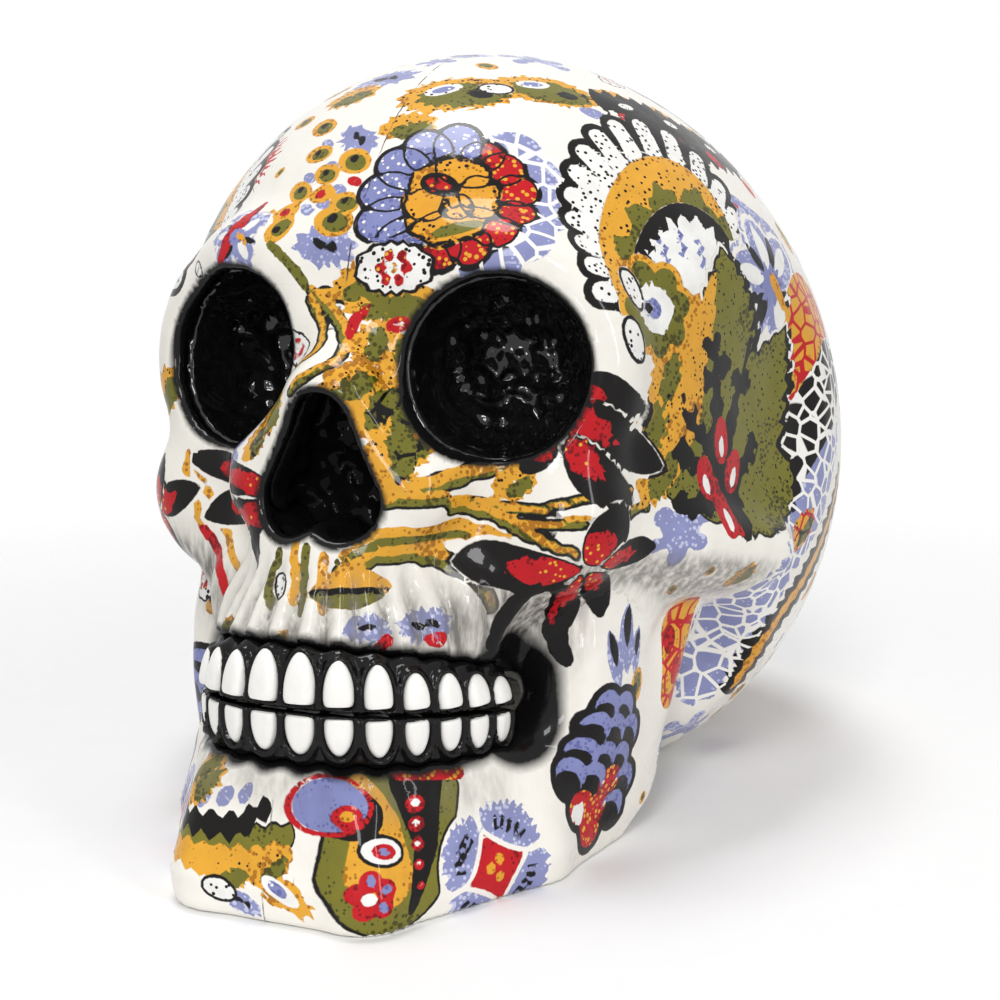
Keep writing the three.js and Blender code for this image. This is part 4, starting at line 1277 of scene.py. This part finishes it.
def draw_cheeks(sheet):
    lily(sheet, (33.1, -41.6, 65), 0, 1.0, LILY_BY_EYE)
    stems = (
        (((9.9, -57.1, 56.2), (15.6, -54.4, 58.0), (22.6, -45.9, 60.6), (28.5, -44, 62)), 1.1),
        (((9.3, -57.4, 55.7), (15.5, -54.7, 56.2), (19.7, -47.3, 54.8),
          (28.2, -46.2, 54), (37.9, -35.1, 55.9)), 0.6),
        (((18.6, -48.2, 54.2), (26.9, -46.6, 52.4), (34.7, -43.8, 52.5), (39.3, -32.2, 53.3)), 0.5),
        (((17.1, -51.5, 54.4), (21, -46.7, 53.2), (25.6, -46.9, 51.6),
          (29.8, -46.4, 49.5), (34, -43.7, 47.8)), 0.65),
        (((5.1, -61.4, 46.2), (9.6, -58.3, 48.6), (14.4, -52.3, 47.8),
          (19.5, -50.3, 44.8), (22.3, -49.1, 40.5)), 1.2),
        (((-6.5, -47.4, 83.6), (-2.3, -49.1, 81.7), (1.2, -51.5, 78.6),
          (1.8, -55.6, 75.1), (-4.6, -57.4, 70.6)), 0.7),
        (((-4.9, -47.7, 83.4), (0.7, -48.7, 82.5), (2.6, -48.9, 81.9)), 0.6),
        (((-6.2, -48, 82.4), (-3, -50.6, 79), (-2.4, -53.4, 75.6), (-5.4, -54.4, 72)), 0.6),
    )
    for line, half in stems:
        sheet.ribbon(line, half, "olive", 0.3)
        sheet.ribbon(np.add(line, (0, 0, 0.6 * half)), max(0.45, 0.75 * half), "orange", 0.3)
    brim = ((4.8, -60.8, 48.2), (7.7, -59, 50.1), (11.3, -57.1, 50.6), (16.4, -50, 51.2), (24, -47.2, 50))
    sheet.ribbon(brim, 2.0, "orange", 0.7)
    sheet.ribbon(np.subtract(brim, (0, 0, 0.3)), 0.6, "olive_top", 0.3)
    thin = (
        (((-14.2, -44.6, 89.8), (-10.1, -46.3, 86.6), (-6.9, -47.2, 84.3)), "olive_top"),
        (((-29.1, -44.8, 58.7), (-28.7, -45.6, 56.1), (-26.1, -47.1, 50.5), (-25, -47.6, 48.1)), "orange"),
        (((-27.4, -45, 58.8), (-26.2, -46, 55.1), (-22.5, -47.4, 50),
          (-19, -49.8, 46.2), (-16.3, -53, 43.4)), "orange"),
        (((-1.7, -60.7, 50.4), (-1, -62.6, 46), (-1, -63.9, 42.7)), "orange"),
        (((0.5, -61.2, 50), (0.9, -63.8, 42.9), (1.2, -64.4, 41)), "olive_top"),
        (((2.4, -61.4, 49), (3.4, -62.6, 45), (3.6, -63.6, 41.4)), "orange"),
        (((-4.4, -61, 48.4), (-5, -62.2, 44.6), (-5.2, -62.8, 41)), "olive_top"),
    )
    for line, ink in thin:
        sheet.ribbon(line, 0.7, ink, 0.1)
    right_stem = ((-25.5, -47.6, 47.6), (-22.3, -48.7, 45.8), (-19.4, -51.7, 42.1), (-18, -54, 38))
    sheet.ribbon(right_stem, 0.9, "red", 0.3)
    lily(sheet, (33.9, -43.5, 47.1), 0, 1.0, LILY_ON_CHEEK)
    legs = (
        (((29.6, -44.6, 43.3), (26.8, -46.2, 42.5), (24.2, -47.2, 40.2),
          (22.3, -47.7, 37.3), (21.2, -47.6, 34)), 1.3),
        (((30.2, -43.5, 42.8), (26.8, -38.4, 38.4), (27.6, -37.9, 33.7), (29.5, -38.4, 30.8)), 1.7),
        (((33.3, -41.7, 44.2), (32.4, -36.6, 41.4), (32.9, -34.8, 37.7)), 1.5),
    )
    for line, half in legs:
        sheet.ribbon(line, half, "black", 0.4)
    sheet.ribbon(((29.6, -42.6, 42.4), (27.4, -39.4, 39.4), (27.2, -38.2, 36.6)), 0.5, "red", 0.3)
    coral(sheet, (42, -29.5, 48), 40, 0.8)
    gold_patch(sheet, (24, -46, 58), 20, 0.6)
    eye_leaf(sheet, (7.0, -61.4, 44.3), 0, 0.95)
    for place, size in (((9.9, -62.4, 39.4), 0.7), ((15.6, -55.8, 39), 0.9)):
        shrub(sheet, place, 0, size)
        blot(sheet, np.add(place, (1.4, 0, -2.2)), 10, 0.9, "red")
    scatter(
        sheet, gold_patch,
        ((3.9, -48.3, 82.6), 10, 0.7), ((7.8, -47.5, 82.6), 0, 0.8), ((10.8, -47.3, 81), -20, 0.75),
        ((0.5, -47.6, 84.8), 0, 0.6), ((8, -52.8, 70), 0, 0.8, True), ((10.4, -51.7, 67.9), 10, 0.8, True),
        ((7.1, -55.2, 68.4), 60, 0.8, True), ((10.2, -55, 64.8), 70, 1.0), ((4.9, -56.5, 72.2), 20, 0.8),
        ((9.4, -50.4, 74.4), 80, 0.8), ((10, -55.6, 60.6), 80, 0.75, True), ((5.6, -51.6, 77.6), 60, 0.7),
        ((-8.2, -54.4, 66.4), 70, 0.7), ((-10.6, -54.8, 62.6), 60, 0.6, True),
    )
    blot(sheet, (8.2, -48.4, 79.1), 20, 0.95, "red")
    blot(sheet, (8.4, -48.4, 79.3), 20, 0.4, "white_top")
    sheet.ribbon(((3.4, -48.6, 81.6), (2.2, -50, 80), (1.8, -52, 78.2)), 0.9, "red")
    lily(sheet, (-9.7, -57.4, 56.3), 0, 1.0, LILY_BY_NOSE)
    sheet.ribbon(((-8.8, -57.9, 53.3), (-9.6, -58.6, 49.6), (-9.1, -59.3, 45.6)), 1.3, "black", 0.7)
    seed(sheet, (-3.4, -63, 44.4), 20, 0.6)


def draw_jaw(sheet):
    tail(sheet, (15.7, -70.2, 10.2))
    daisy(sheet, (25.4, -54.7, 4.6), 14, 0.98)
    berry(sheet, (34, -35.4, 14.8), -6, 1.05)
    gold_patch(sheet, (-12.4, -69.6, 17.4), 60, 0.75)
    seed(sheet, (-7.6, -74.2, 4), 75, 0.8)
    shrub(sheet, (-3.4, -74, 2.4), -20, 0.6)
    chin = ((-15.5, -68.5, 7.4), (-10, -73.2, 7.6), (-4, -74, 8.2), (1.4, -73.6, 10.2))
    sheet.ribbon(np.add(chin, (0, 0, 2.4)), 2.2, "olive", 0.4, 1.0)
    sheet.ribbon(chin, 2.2, "orange", 0.4, 1.0)
    over_chin = ((-16, -66.6, 12.6), (-11.6, -71.6, 12), (-6, -72.4, 13), (-1, -72, 16))
    sheet.ribbon(over_chin, 1.6, "black", 0.4, 1.6)
    for place in ((-11, -70.4, 15.4), (-8, -71, 16), (-5, -71, 16.6)):
        blot(sheet, place, 60, 0.9)
    mesh_net(sheet, (38.4, -14.4, 27.4), 0, 1.0, (0.5, 5), (-1, -6), 4.0, "orange")
    blot(sheet, (38.2, -16.4, 29.6), 80, 1.2, "red")
    blot(sheet, (38.2, -14.4, 24.4), 80, 1.2, "red")
    teardrop(sheet, (36.3, -27.1, 25.4), 75, 1.1)
    scatter(sheet, spike, ((35.4, -30, 33), 84), ((35, -33, 30), 100, 0.9), ((36, -27.6, 30.6), 76, 0.7))
    shrub(sheet, (36, -14, 13), 60, 0.9)
    scatter(sheet, gold_patch, ((-14.6, -68, 20), 70, 0.7), ((-6, -73.8, 6.4), 10, 0.6),
            ((0.4, -73.8, 8.4), 40, 0.6))
    fringe(sheet, (2.4, -73.6, 4.6), -28, 0.8)


def draw_far_sides(sheet):
    """Right cheek and jaw, back and top, which carry the same kinds of figure."""
    peony(sheet, (-12, 78, 74), 10, 1.15)
    peony(sheet, (-30, 20, 103), 40, 1.0)
    leaf(sheet, (22, 70, 78), -12, 0.95, mirror=-1)
    leaf(sheet, (-40, 60, 52), 12, 0.9)
    paisley(sheet, (38, 58, 66), 0, 0.85, mirror=-1)
    paisley(sheet, (2, 40, 112), 0, 0.85)
    paisley(sheet, (-4, 72, 44), 0, 0.8)
    for place, size in (((50, 36, 48), 1.0), ((-50, 34, 72), 1.0), ((22, 62, 40), 1.0), ((-24, 50, 98), 0.9)):
        blue_flower(sheet, place, 25, size)
    for place in ((30, 40, 96), (-28, 72, 66), (8, 82, 62), (-52, 22, 46)):
        daisy(sheet, place, 20, 0.9)
    berry(sheet, (-33.6, -36.4, 14.6), 6, 1.1)
    daisy(sheet, (-25.4, -54.7, 4.6), 14, 0.95)
    lily(sheet, (-34, -43, 50), 0, 0.9, LILY_PLAIN)
    lily(sheet, (4, 10, 115), 30, 1.0, LILY_PLAIN)
    lily(sheet, (44, 52, 40), 20, 0.9, LILY_PLAIN)
    lily(sheet, (-46, 44, 36), 60, 0.9, LILY_PLAIN)
    berry(sheet, (26, 16, 107), 30, 0.9)
    berry(sheet, (-14, 66, 92), -20, 0.9)
    lace_flower(sheet, (-38, -14, 32), 70, 0.9)
    fan(sheet, (12, 60, 102), 60, 1.2)


# Figures that fill what is left bare, from the skull's middle outward
FILL_MIDDLE = np.array((0, 5, 52.0))
FILL_CONE = 0.9994
FILL_LOWEST_Z = 3
BEHIND_Y = 24
FAR_SIDE_X = -30
SMALL_FIGURES = (shrub, gold_patch, coral, teardrop, bud_spray, seed, blot, lace_flower, teardrop, gold_patch)
LARGE_FIGURES = (daisy, blue_flower, sprig, lace_flower, fan)


def fill_between(sheet, figures, count, clearance, size, behind=False):
    """Figures in turn wherever a good patch of the ground is still bare, or only behind the face."""
    ways = sheet.points - FILL_MIDDLE
    ways /= np.linalg.norm(ways, axis=1, keepdims=True)
    golden = math.pi * (3 - math.sqrt(5))
    made = 0
    for i in range(count):
        height = 1 - 2 * (i + 0.5) / count
        flat = math.sqrt(1 - height**2)
        way = np.array((flat * math.cos(golden * i), flat * math.sin(golden * i), height))
        near = np.flatnonzero(ways @ way > FILL_CONE)
        if not len(near):
            continue
        spot = near[np.argmax(((sheet.points[near] - FILL_MIDDLE) ** 2).sum(axis=1))]
        x, y, z = sheet.points[spot]
        shown = y < BEHIND_Y and x > FAR_SIDE_X
        if z < FILL_LOWEST_Z or sheet.bare(spot) < clearance or (behind and shown):
            continue
        drawn = figures[made % len(figures)]
        drawn(sheet, (x, y, z), (53 * made) % 180, size * (0.9 + 0.09 * ((7 * made) % 5)))
        made += 1


# Materials
def linear(*screen):
    """A colour as a screen shows it, from 0 to 255, as the light that shaders use."""
    return (*(((c / 255 + 0.055) / 1.055) ** 2.4 if c > 10 else c / 255 / 12.92 for c in screen), 1)


class Shade:
    """A material's nodes, with short calls that take sockets or plain values."""

    def __init__(self, name):
        self.material = bpy.data.materials.new(name)
        self.material.use_nodes = True
        self.tree = self.material.node_tree
        self.shader = self.tree.nodes["Principled BSDF"]
        space = self.node("ShaderNodeTexCoord").outputs["Object"]
        scale = self.node("ShaderNodeVectorMath", operation="SCALE")
        self.tree.links.new(space, scale.inputs[0])
        scale.inputs["Scale"].default_value = 1 / MM
        self.place = scale.outputs[0]

    def node(self, kind, **settings):
        made = self.tree.nodes.new(kind)
        for key, value in settings.items():
            setattr(made, key, value)
        return made

    def put(self, socket, value):
        if isinstance(value, bpy.types.NodeSocket):
            self.tree.links.new(value, socket)
        else:
            socket.default_value = value

    def held(self, name):
        return self.node("ShaderNodeAttribute", attribute_name=name).outputs["Fac"]

    def math(self, operation, a, b=0.0, c=0.0):
        made = self.node("ShaderNodeMath", operation=operation)
        for socket, value in zip(made.inputs, (a, b, c)):
            self.put(socket, value)
        return made.outputs[0]

    def ramp(self, value, low, high, start=0.0, end=1.0):
        made = self.node("ShaderNodeMapRange")
        keys = ("Value", "From Min", "From Max", "To Min", "To Max")
        for key, given in zip(keys, (value, low, high, start, end)):
            self.put(made.inputs[key], given)
        return made.outputs[0]

    def mix(self, share, a, b):
        made = self.node("ShaderNodeMix", data_type="RGBA")
        self.put(made.inputs["Factor"], share)
        self.put(made.inputs[6], a)
        self.put(made.inputs[7], b)
        return made.outputs[2]

    def noise(self, size, detail=2.0, tall=1.0):
        made = self.node("ShaderNodeTexNoise")
        drawn = self.node("ShaderNodeVectorMath", operation="MULTIPLY")
        self.put(drawn.inputs[0], self.place)
        drawn.inputs[1].default_value = (1, 1, 1 / tall)
        self.put(made.inputs["Vector"], drawn.outputs[0])
        made.inputs["Scale"].default_value = 1 / size
        made.inputs["Detail"].default_value = detail
        return made.outputs["Fac"]

    def cells(self, size, feature="F1"):
        made = self.node("ShaderNodeTexVoronoi", feature=feature)
        self.put(made.inputs["Vector"], self.place)
        made.inputs["Scale"].default_value = 1 / size
        return made.outputs["Distance"]

    def bump(self, height, depth):
        made = self.node("ShaderNodeBump")
        made.inputs["Distance"].default_value = depth * MM
        self.put(made.inputs["Height"], height)
        self.put(self.shader.inputs["Normal"], made.outputs[0])

    def gloss(self, coat, coat_rough):
        self.shader.inputs["Coat Weight"].default_value = coat
        self.shader.inputs["Coat Roughness"].default_value = coat_rough


INK_COLOURS = {
    "blue": (142, 147, 192),
    "olive": (121, 117, 42),
    "orange": (229, 167, 54),
    "olive_top": (113, 110, 40),
    "black": (15, 12, 11),
    "white": (245, 243, 238),
    "red": (193, 22, 32),
    "blue_top": (131, 137, 187),
    "orange_top": (226, 160, 46),
    "white_top": (246, 244, 239),
}
OUTLINES = {"olive": 0.4}
STIPPLES = {
    "blue": (196, 199, 226),
    "olive": (74, 72, 22),
    "orange": (172, 112, 28),
    "olive_top": (70, 68, 22),
    "red": (128, 10, 20),
    "blue_top": (100, 105, 162),
    "orange_top": (168, 108, 24),
}
NET_COLOURS = {"orange": "red", "blue": "white", "black": "white", "olive_top": "black"}
DOT_COLOURS = {
    "orange": "black",
    "white": "black",
    "olive": "black",
    "orange_top": "black",
    "red": "orange",
    "blue_top": "white",
}
INK_EDGE = 0.07
STIPPLE_REACH = 2.2
GRAIN_SIZE = 0.8
DOT_SIZE = 1.0
NET_SIZE = 3.1


def ink_colour(name):
    return linear(*INK_COLOURS[name])


def printed_resin():
    """White resin under the printed film, with black paint, grey wear and painted shade, all under clear
    lacquer.
    """
    m = Shade("printed_resin")
    black = ink_colour("black")
    uneven = m.noise(3.0, 3.0)
    wobble = m.math("MULTIPLY", m.math("SUBTRACT", m.noise(0.9), 0.5), 0.26)
    shaded = m.ramp(m.noise(7.0), 0.42, 0.72, 0.0, 0.45)
    grain = m.math("SUBTRACT", m.cells(GRAIN_SIZE), shaded)
    dot = m.cells(DOT_SIZE)
    mesh = m.cells(NET_SIZE, "DISTANCE_TO_EDGE")
    dots, net = m.held("print_dots"), m.held("print_net")
    dotted = m.ramp(m.math("SUBTRACT", dot, m.math("MULTIPLY_ADD", dots, 0.16, 0.18)), 0.03, -0.03)
    dotted = m.math("MULTIPLY", dotted, m.ramp(dots, 0.15, 0.3))
    netted = m.math("MULTIPLY", m.ramp(mesh, 0.1, 0.07), m.ramp(net, 0.4, 0.6))
    # Grey mark that is partly wear and partly painted shade (cheek hollows, undersides of the cheekbones,
    # valleys between roots), broken into streaks
    wear_and_shade = m.math("MULTIPLY", m.held("wear_and_shade"), m.ramp(m.noise(1.0, 5.0, 4.0), 0.2, 0.62))
    colour = m.mix(uneven, linear(247, 244, 237), linear(236, 232, 222))
    for name in INKS:
        if name == "black":
            # Grey of wear and painted shade, laid under the black and upper inks
            colour = m.mix(wear_and_shade, colour, linear(122, 118, 112))
        far = m.math("ADD", m.held(f"print_{name}"), wobble)
        if name in OUTLINES:
            edge = OUTLINES[name]
            colour = m.mix(m.ramp(far, edge + INK_EDGE, edge - INK_EDGE), colour, black)
        tone = INK_COLOURS[name]
        ink = m.mix(uneven, linear(*(min(255, 1.06 * c) for c in tone)), linear(*(0.9 * c for c in tone)))
        if name in STIPPLES:
            stipple = m.math("SUBTRACT", grain, m.ramp(far, -STIPPLE_REACH, 0.0, 0.0, 0.26))
            ink = m.mix(m.ramp(stipple, 0.04, -0.04), ink, linear(*STIPPLES[name]))
        inked = m.ramp(far, INK_EDGE, -INK_EDGE)
        if name in NET_COLOURS:
            ink = m.mix(netted, ink, ink_colour(NET_COLOURS[name]))
        if name in DOT_COLOURS:
            ink = m.mix(dotted, ink, ink_colour(DOT_COLOURS[name]))
        colour = m.mix(inked, colour, ink)
    line = m.math("ABSOLUTE", m.math("ADD", m.held("print_line"), wobble))
    colour = m.mix(m.ramp(line, 0.24, 0.13), colour, black)
    seam = m.math("ABSOLUTE", m.math("ADD", m.held("seam"), wobble))
    seam = m.math("MULTIPLY", m.ramp(seam, 0.16, 0.06), m.ramp(m.noise(2.4, 4.0), 0.42, 0.6))
    colour = m.mix(seam, colour, linear(70, 66, 60))
    paint = m.ramp(m.math("ADD", m.held("paint"), m.math("MULTIPLY", wobble, 0.3)), 0.15, 0.85)
    colour = m.mix(paint, colour, linear(16, 16, 17))
    m.put(m.shader.inputs["Base Color"], colour)
    m.put(m.shader.inputs["Roughness"], m.ramp(uneven, 0.3, 0.7, 0.24, 0.34))
    m.gloss(0.32, 0.05)
    m.shader.inputs["Specular IOR Level"].default_value = 0.05
    m.bump(m.noise(0.9, 3.0), 0.05)
    return m.material


def black_enamel(name, coat):
    """Thick black paint with brushed unevenness, glossier or duller by its coat."""
    m = Shade(name)
    uneven = m.noise(2.2, 3.0)
    m.put(m.shader.inputs["Base Color"], m.mix(uneven, linear(9, 9, 10), linear(24, 23, 23)))
    m.put(m.shader.inputs["Roughness"], m.ramp(uneven, 0.3, 0.7, 0.16, 0.3))
    m.gloss(coat, 0.04)
    m.shader.inputs["Specular IOR Level"].default_value = 0.0
    m.bump(m.noise(1.4, 2.0), 0.12)
    return m.material


def tooth_white():
    """Satin white paint, a little uneven in tone."""
    m = Shade("tooth_white")
    uneven = m.noise(2.6, 3.0)
    m.put(m.shader.inputs["Base Color"], m.mix(uneven, linear(250, 249, 246), linear(238, 236, 230)))
    m.put(m.shader.inputs["Roughness"], m.ramp(uneven, 0.3, 0.7, 0.3, 0.45))
    m.gloss(0.3, 0.1)
    m.bump(m.noise(0.8, 2.0), 0.04)
    return m.material


resin = printed_resin()
socket_black = black_enamel("socket_black", 1.0)
nose_black = black_enamel("nose_black", 0.12)
gum_black = black_enamel("gum_black", 0.4)
ivory = tooth_white()

# Pieces
HEAD_BOX = ((-58, -77, -3), (58, 78, 121))
JAW_BOX = ((-46, -78, -3), (46, 2, 50))
NOSE_BOX = ((-13, -68, 45), (13, -38, 76))
head_points, head_quads = skin(head_field, *HEAD_BOX, HEAD_STEP)
cranium = piece("cranium_shell", head_points, head_quads, resin, "printed_resin", "cranium")
jaw_points, jaw_quads = skin(jaw_field, *JAW_BOX, JAW_STEP)
jaw = piece("jaw_shell", jaw_points, jaw_quads, resin, "printed_resin", "jaw")


def normals_of(points, quads):
    a, b, c, d = (points[quads[:, i]] for i in range(4))
    face = np.cross(c - a, d - b)
    shares = [np.bincount(quads.ravel(), np.repeat(face[:, i], 4), len(points)) for i in range(3)]
    total = np.stack(shares, axis=1)
    return total / np.maximum(np.linalg.norm(total, axis=1, keepdims=True), 1e-9)


def paint_at(points):
    """Share of black paint that laps from the sockets, nose and gums onto the resin."""
    x, y, z = points.T
    paint = np.zeros(len(points))
    front = fade(y, -20, -30)
    inside = fade(cranium_form(x, y, z), -0.8, -1.6)
    for form in (socket_bowl(x, y, z, 1), socket_bowl(x, y, z, -1), nose_bowl(x, y, z)):
        lapped = np.maximum(fade(form, 1.9, 0.7), inside * fade(form, 3.0, 2.0))
        paint = np.maximum(paint, front * lapped)
    for way in (1, -1):
        paint = np.maximum(paint, fade(gum_form(x, y, z, way), 2.4, 0.5))
        end, _ = arch_place(way * (TEETH_PER_SIDE - 0.1) * TOOTH_PITCH)
        corner = bar(x, y, z, end - (0, 0, 1.5), end + (0, 0, 4), 0, 0)
        paint = np.maximum(paint, fade(corner, 9.2, 5.8))
    return paint


def seam_at(points):
    """Distance from the film's joint along the middle of the forehead and chin."""
    x, y, z = points.T
    kept = (y < -8) & ((z > 84) | (z < 17))
    return np.where(kept, x + 0.7, FAR)


def wear_and_shade_at(points, normals):
    """Grey wear with painted shade: the hollows under the cheeks and the down-turned faces below the
    cheekbones greyed as shade, the valleys between the tooth roots darker, and a faint band under the lower
    gum.
    """
    x, y, z = points.T
    # Painted shade: faces turned downward below the cheekbones are greyed
    under = fade(normals[:, 2], -0.05, -0.6) * fade(y, -4, -14) * fade(z, 34, 38) * fade(z, 52, 47)
    # Painted shade with some wear: the hollow under each cheek is greyed
    hollow = fade(np.hypot(np.hypot(np.abs(x) - 25, (y + 44) * 0.8), z - 38), 13, 4)
    along, _ = arch_coordinates(x, y)
    # Painted shade: darker in the valleys between the tooth roots
    valley = 0.5 + 0.5 * np.cos(2 * np.pi * along / TOOTH_PITCH)
    over = z - bite_at(y)
    roots = fade(over - gum_tall(y, 1), -1, 1) * fade(over, 22, 12) * fade(y, -42, -48)
    chin = fade(-over, 7, 9) * fade(-over, 16, 11) * fade(y, -46, -54)
    return np.clip(0.9 * hollow + 0.8 * under + roots * (0.15 + 0.85 * valley**2) + 0.35 * chin, 0, 1)


sheet_points = np.concatenate([head_points, jaw_points])
sheet_normals = np.concatenate([normals_of(head_points, head_quads), normals_of(jaw_points, jaw_quads)])
sheet = Print(sheet_points, sheet_normals)
draw_forehead(sheet)
for side in (1, -1):
    draw_temple(sheet, side)
draw_cheeks(sheet)
draw_jaw(sheet)
draw_far_sides(sheet)
fill_between(sheet, LARGE_FIGURES, 300, 6.5, 0.75, True)
fill_between(sheet, SMALL_FIGURES, 420, 5.2, 0.85)
fill_between(sheet, SMALL_FIGURES, 1100, 2.9, 0.47)
held = {f"print_{name}": values for name, values in sheet.ink.items()}
held |= {"print_line": sheet.line, "print_dots": sheet.dots, "print_net": sheet.net}
held |= {"paint": paint_at(sheet_points), "seam": seam_at(sheet_points)}
# Grey wear with painted shade in the cheek hollows, under the cheekbones and between the roots
held["wear_and_shade"] = wear_and_shade_at(sheet_points, sheet_normals)
for made, start in ((cranium, 0), (jaw, len(head_points))):
    count = len(made.data.vertices)
    for name, values in held.items():
        layer = made.data.attributes.new(name, "FLOAT", "POINT")
        layer.data.foreach_set("value", np.ascontiguousarray(values[start:start + count], dtype=np.float32))
for hand, side in (("left", 1), ("right", -1)):
    reach = sorted((side * 2.0, side * 40.0))
    bowl_box = ((reach[0], -66, 56), (reach[1], -16, 92))
    found = skin(partial(socket_field, side=side), *bowl_box, LINING_STEP)
    piece(f"{hand}_socket_lining", *found, socket_black, "black_enamel", f"{hand}_eye_socket")
found = skin(nose_field, *NOSE_BOX, LINING_STEP)
piece("nose_lining", *found, nose_black, "black_enamel", "nasal_cavity")
for row, way in (("upper", 1), ("lower", -1)):
    middle = BITE_HEIGHT - 3 + way * 5
    gum_box = ((-30, -77, middle - 12), (30, -24, middle + 12))
    found = skin(partial(gum_form, way=way), *gum_box, GUM_STEP)
    piece(f"{row}_gum_band", *found, gum_black, "black_enamel", f"{row}_gum")
    for hand, side in (("left", 1), ("right", -1)):
        for number in range(1, TEETH_PER_SIDE + 1):
            seat, tall = tooth_matrix(row, side, number)
            spots, faces = tooth_mesh(CROWN_SHARE * TOOTH_WIDTHS[number - 1], tall)
            spots = [seat @ Vector(spot) for spot in spots]
            name = f"{row}_{hand}_tooth_{number}"
            piece(f"{name}_crown", spots, faces, ivory, "tooth_white", name)

# Stage: the camera, soft light from above and the front, and a pale floor that fades into a white surround
CAMERA_EYE = (119.27, -278.61, 101.32)
CAMERA_AZIMUTH = math.radians(22.651)
CAMERA_ELEVATION = math.radians(10.37)
CAMERA_LENS = 66.35
CAMERA_SENSOR = 36
CAMERA_NEAREST = 0.01
AIM = Vector((0, 0, 0.05))
SURROUND_LIGHT = 0.39

camera_data = bpy.data.cameras.new("camera")
camera_data.lens = CAMERA_LENS
camera_data.sensor_width = CAMERA_SENSOR
camera_data.clip_start = CAMERA_NEAREST
camera = placed("camera", camera_data)
camera.location = Vector(CAMERA_EYE) * MM
camera.rotation_euler = (math.pi / 2 - CAMERA_ELEVATION, 0, CAMERA_AZIMUTH)
bpy.context.scene.camera = camera


def area_light(name, place, wide, tall, power):
    """A rectangle of light in metres and watts, aimed at the object."""
    data = bpy.data.lights.new(name, "AREA")
    data.shape = "RECTANGLE"
    data.size = wide
    data.size_y = tall
    data.energy = power
    made = placed(name, data)
    made.location = place
    made.rotation_euler = (AIM - Vector(place)).to_track_quat("-Z", "Y").to_euler()


area_light("key", (-0.14, 0.06, 1.25), 0.4, 0.4, 6.4)
area_light("front", (0.2, -0.84, 0.8), 0.26, 0.26, 3.8)
area_light("spark", (0.22, -0.8, 0.3), 0.13, 0.13, 0.9)
area_light("strip", (0.85, -0.42, 0.42), 0.07, 0.6, 1.8)


def white_to_camera(tree, light):
    """Mixes plain white over a background for camera, glossy and see-through rays."""
    path = tree.nodes.new("ShaderNodeLightPath")
    seen = path.outputs["Is Camera Ray"]
    for ray in ("Is Glossy Ray", "Is Transmission Ray"):
        either = tree.nodes.new("ShaderNodeMath")
        either.operation = "MAXIMUM"
        tree.links.new(seen, either.inputs[0])
        tree.links.new(path.outputs[ray], either.inputs[1])
        seen = either.outputs[0]
    white = tree.nodes.new("ShaderNodeBackground")
    white.inputs["Strength"].default_value = 1.0
    white.inputs["Color"].default_value = (1, 1, 1, 1)
    mixed = tree.nodes.new("ShaderNodeMixShader")
    tree.links.new(seen, mixed.inputs[0])
    tree.links.new(light, mixed.inputs[1])
    tree.links.new(white.outputs[0], mixed.inputs[2])
    return mixed.outputs[0]


world = bpy.data.worlds.new("surround")
world.use_nodes = True
bpy.context.scene.world = world
surround = world.node_tree.nodes["Background"]
surround.inputs["Color"].default_value = (1, 1, 1, 1)
surround.inputs["Strength"].default_value = SURROUND_LIGHT
world_out = world.node_tree.nodes["World Output"]
world.node_tree.links.new(white_to_camera(world.node_tree, surround.outputs[0]), world_out.inputs[0])

FLOOR_HALF = 1.2
FLOOR_CLEAR = 0.1
FLOOR_GONE = 0.25
corners = [(x * FLOOR_HALF, y * FLOOR_HALF, 0) for x, y in ((-1, -1), (1, -1), (1, 1), (-1, 1))]
floor_mesh = bpy.data.meshes.new("floor")
floor_mesh.from_pydata(corners, [], [(0, 1, 2, 3)])
floor = placed("floor", floor_mesh)
floor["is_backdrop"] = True


def floor_white():
    """Matt white card that turns clear away from the object, so that the surround shows."""
    m = Shade("floor_white")
    far = m.node("ShaderNodeVectorMath", operation="LENGTH")
    m.tree.links.new(m.place, far.inputs[0])
    gone = m.ramp(far.outputs["Value"], FLOOR_CLEAR / MM, FLOOR_GONE / MM)
    m.put(m.shader.inputs["Base Color"], m.mix(m.noise(6.0), (0.92, 0.92, 0.92, 1), (0.9, 0.9, 0.905, 1)))
    m.put(m.shader.inputs["Roughness"], 0.7)
    clear = m.node("ShaderNodeBsdfTransparent")
    mixed = m.node("ShaderNodeMixShader")
    m.put(mixed.inputs[0], gone)
    m.tree.links.new(m.shader.outputs[0], mixed.inputs[1])
    m.tree.links.new(clear.outputs[0], mixed.inputs[2])
    m.tree.links.new(mixed.outputs[0], m.tree.nodes["Material Output"].inputs[0])
    return m.material


floor_mesh.materials.append(floor_white())

bpy.context.scene.view_settings.view_transform = "Standard"

visual_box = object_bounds()
boxes = {"cad": cad_box, "visual": visual_box}
{key: [list(corner) for corner in box] for key, box in boxes.items()}
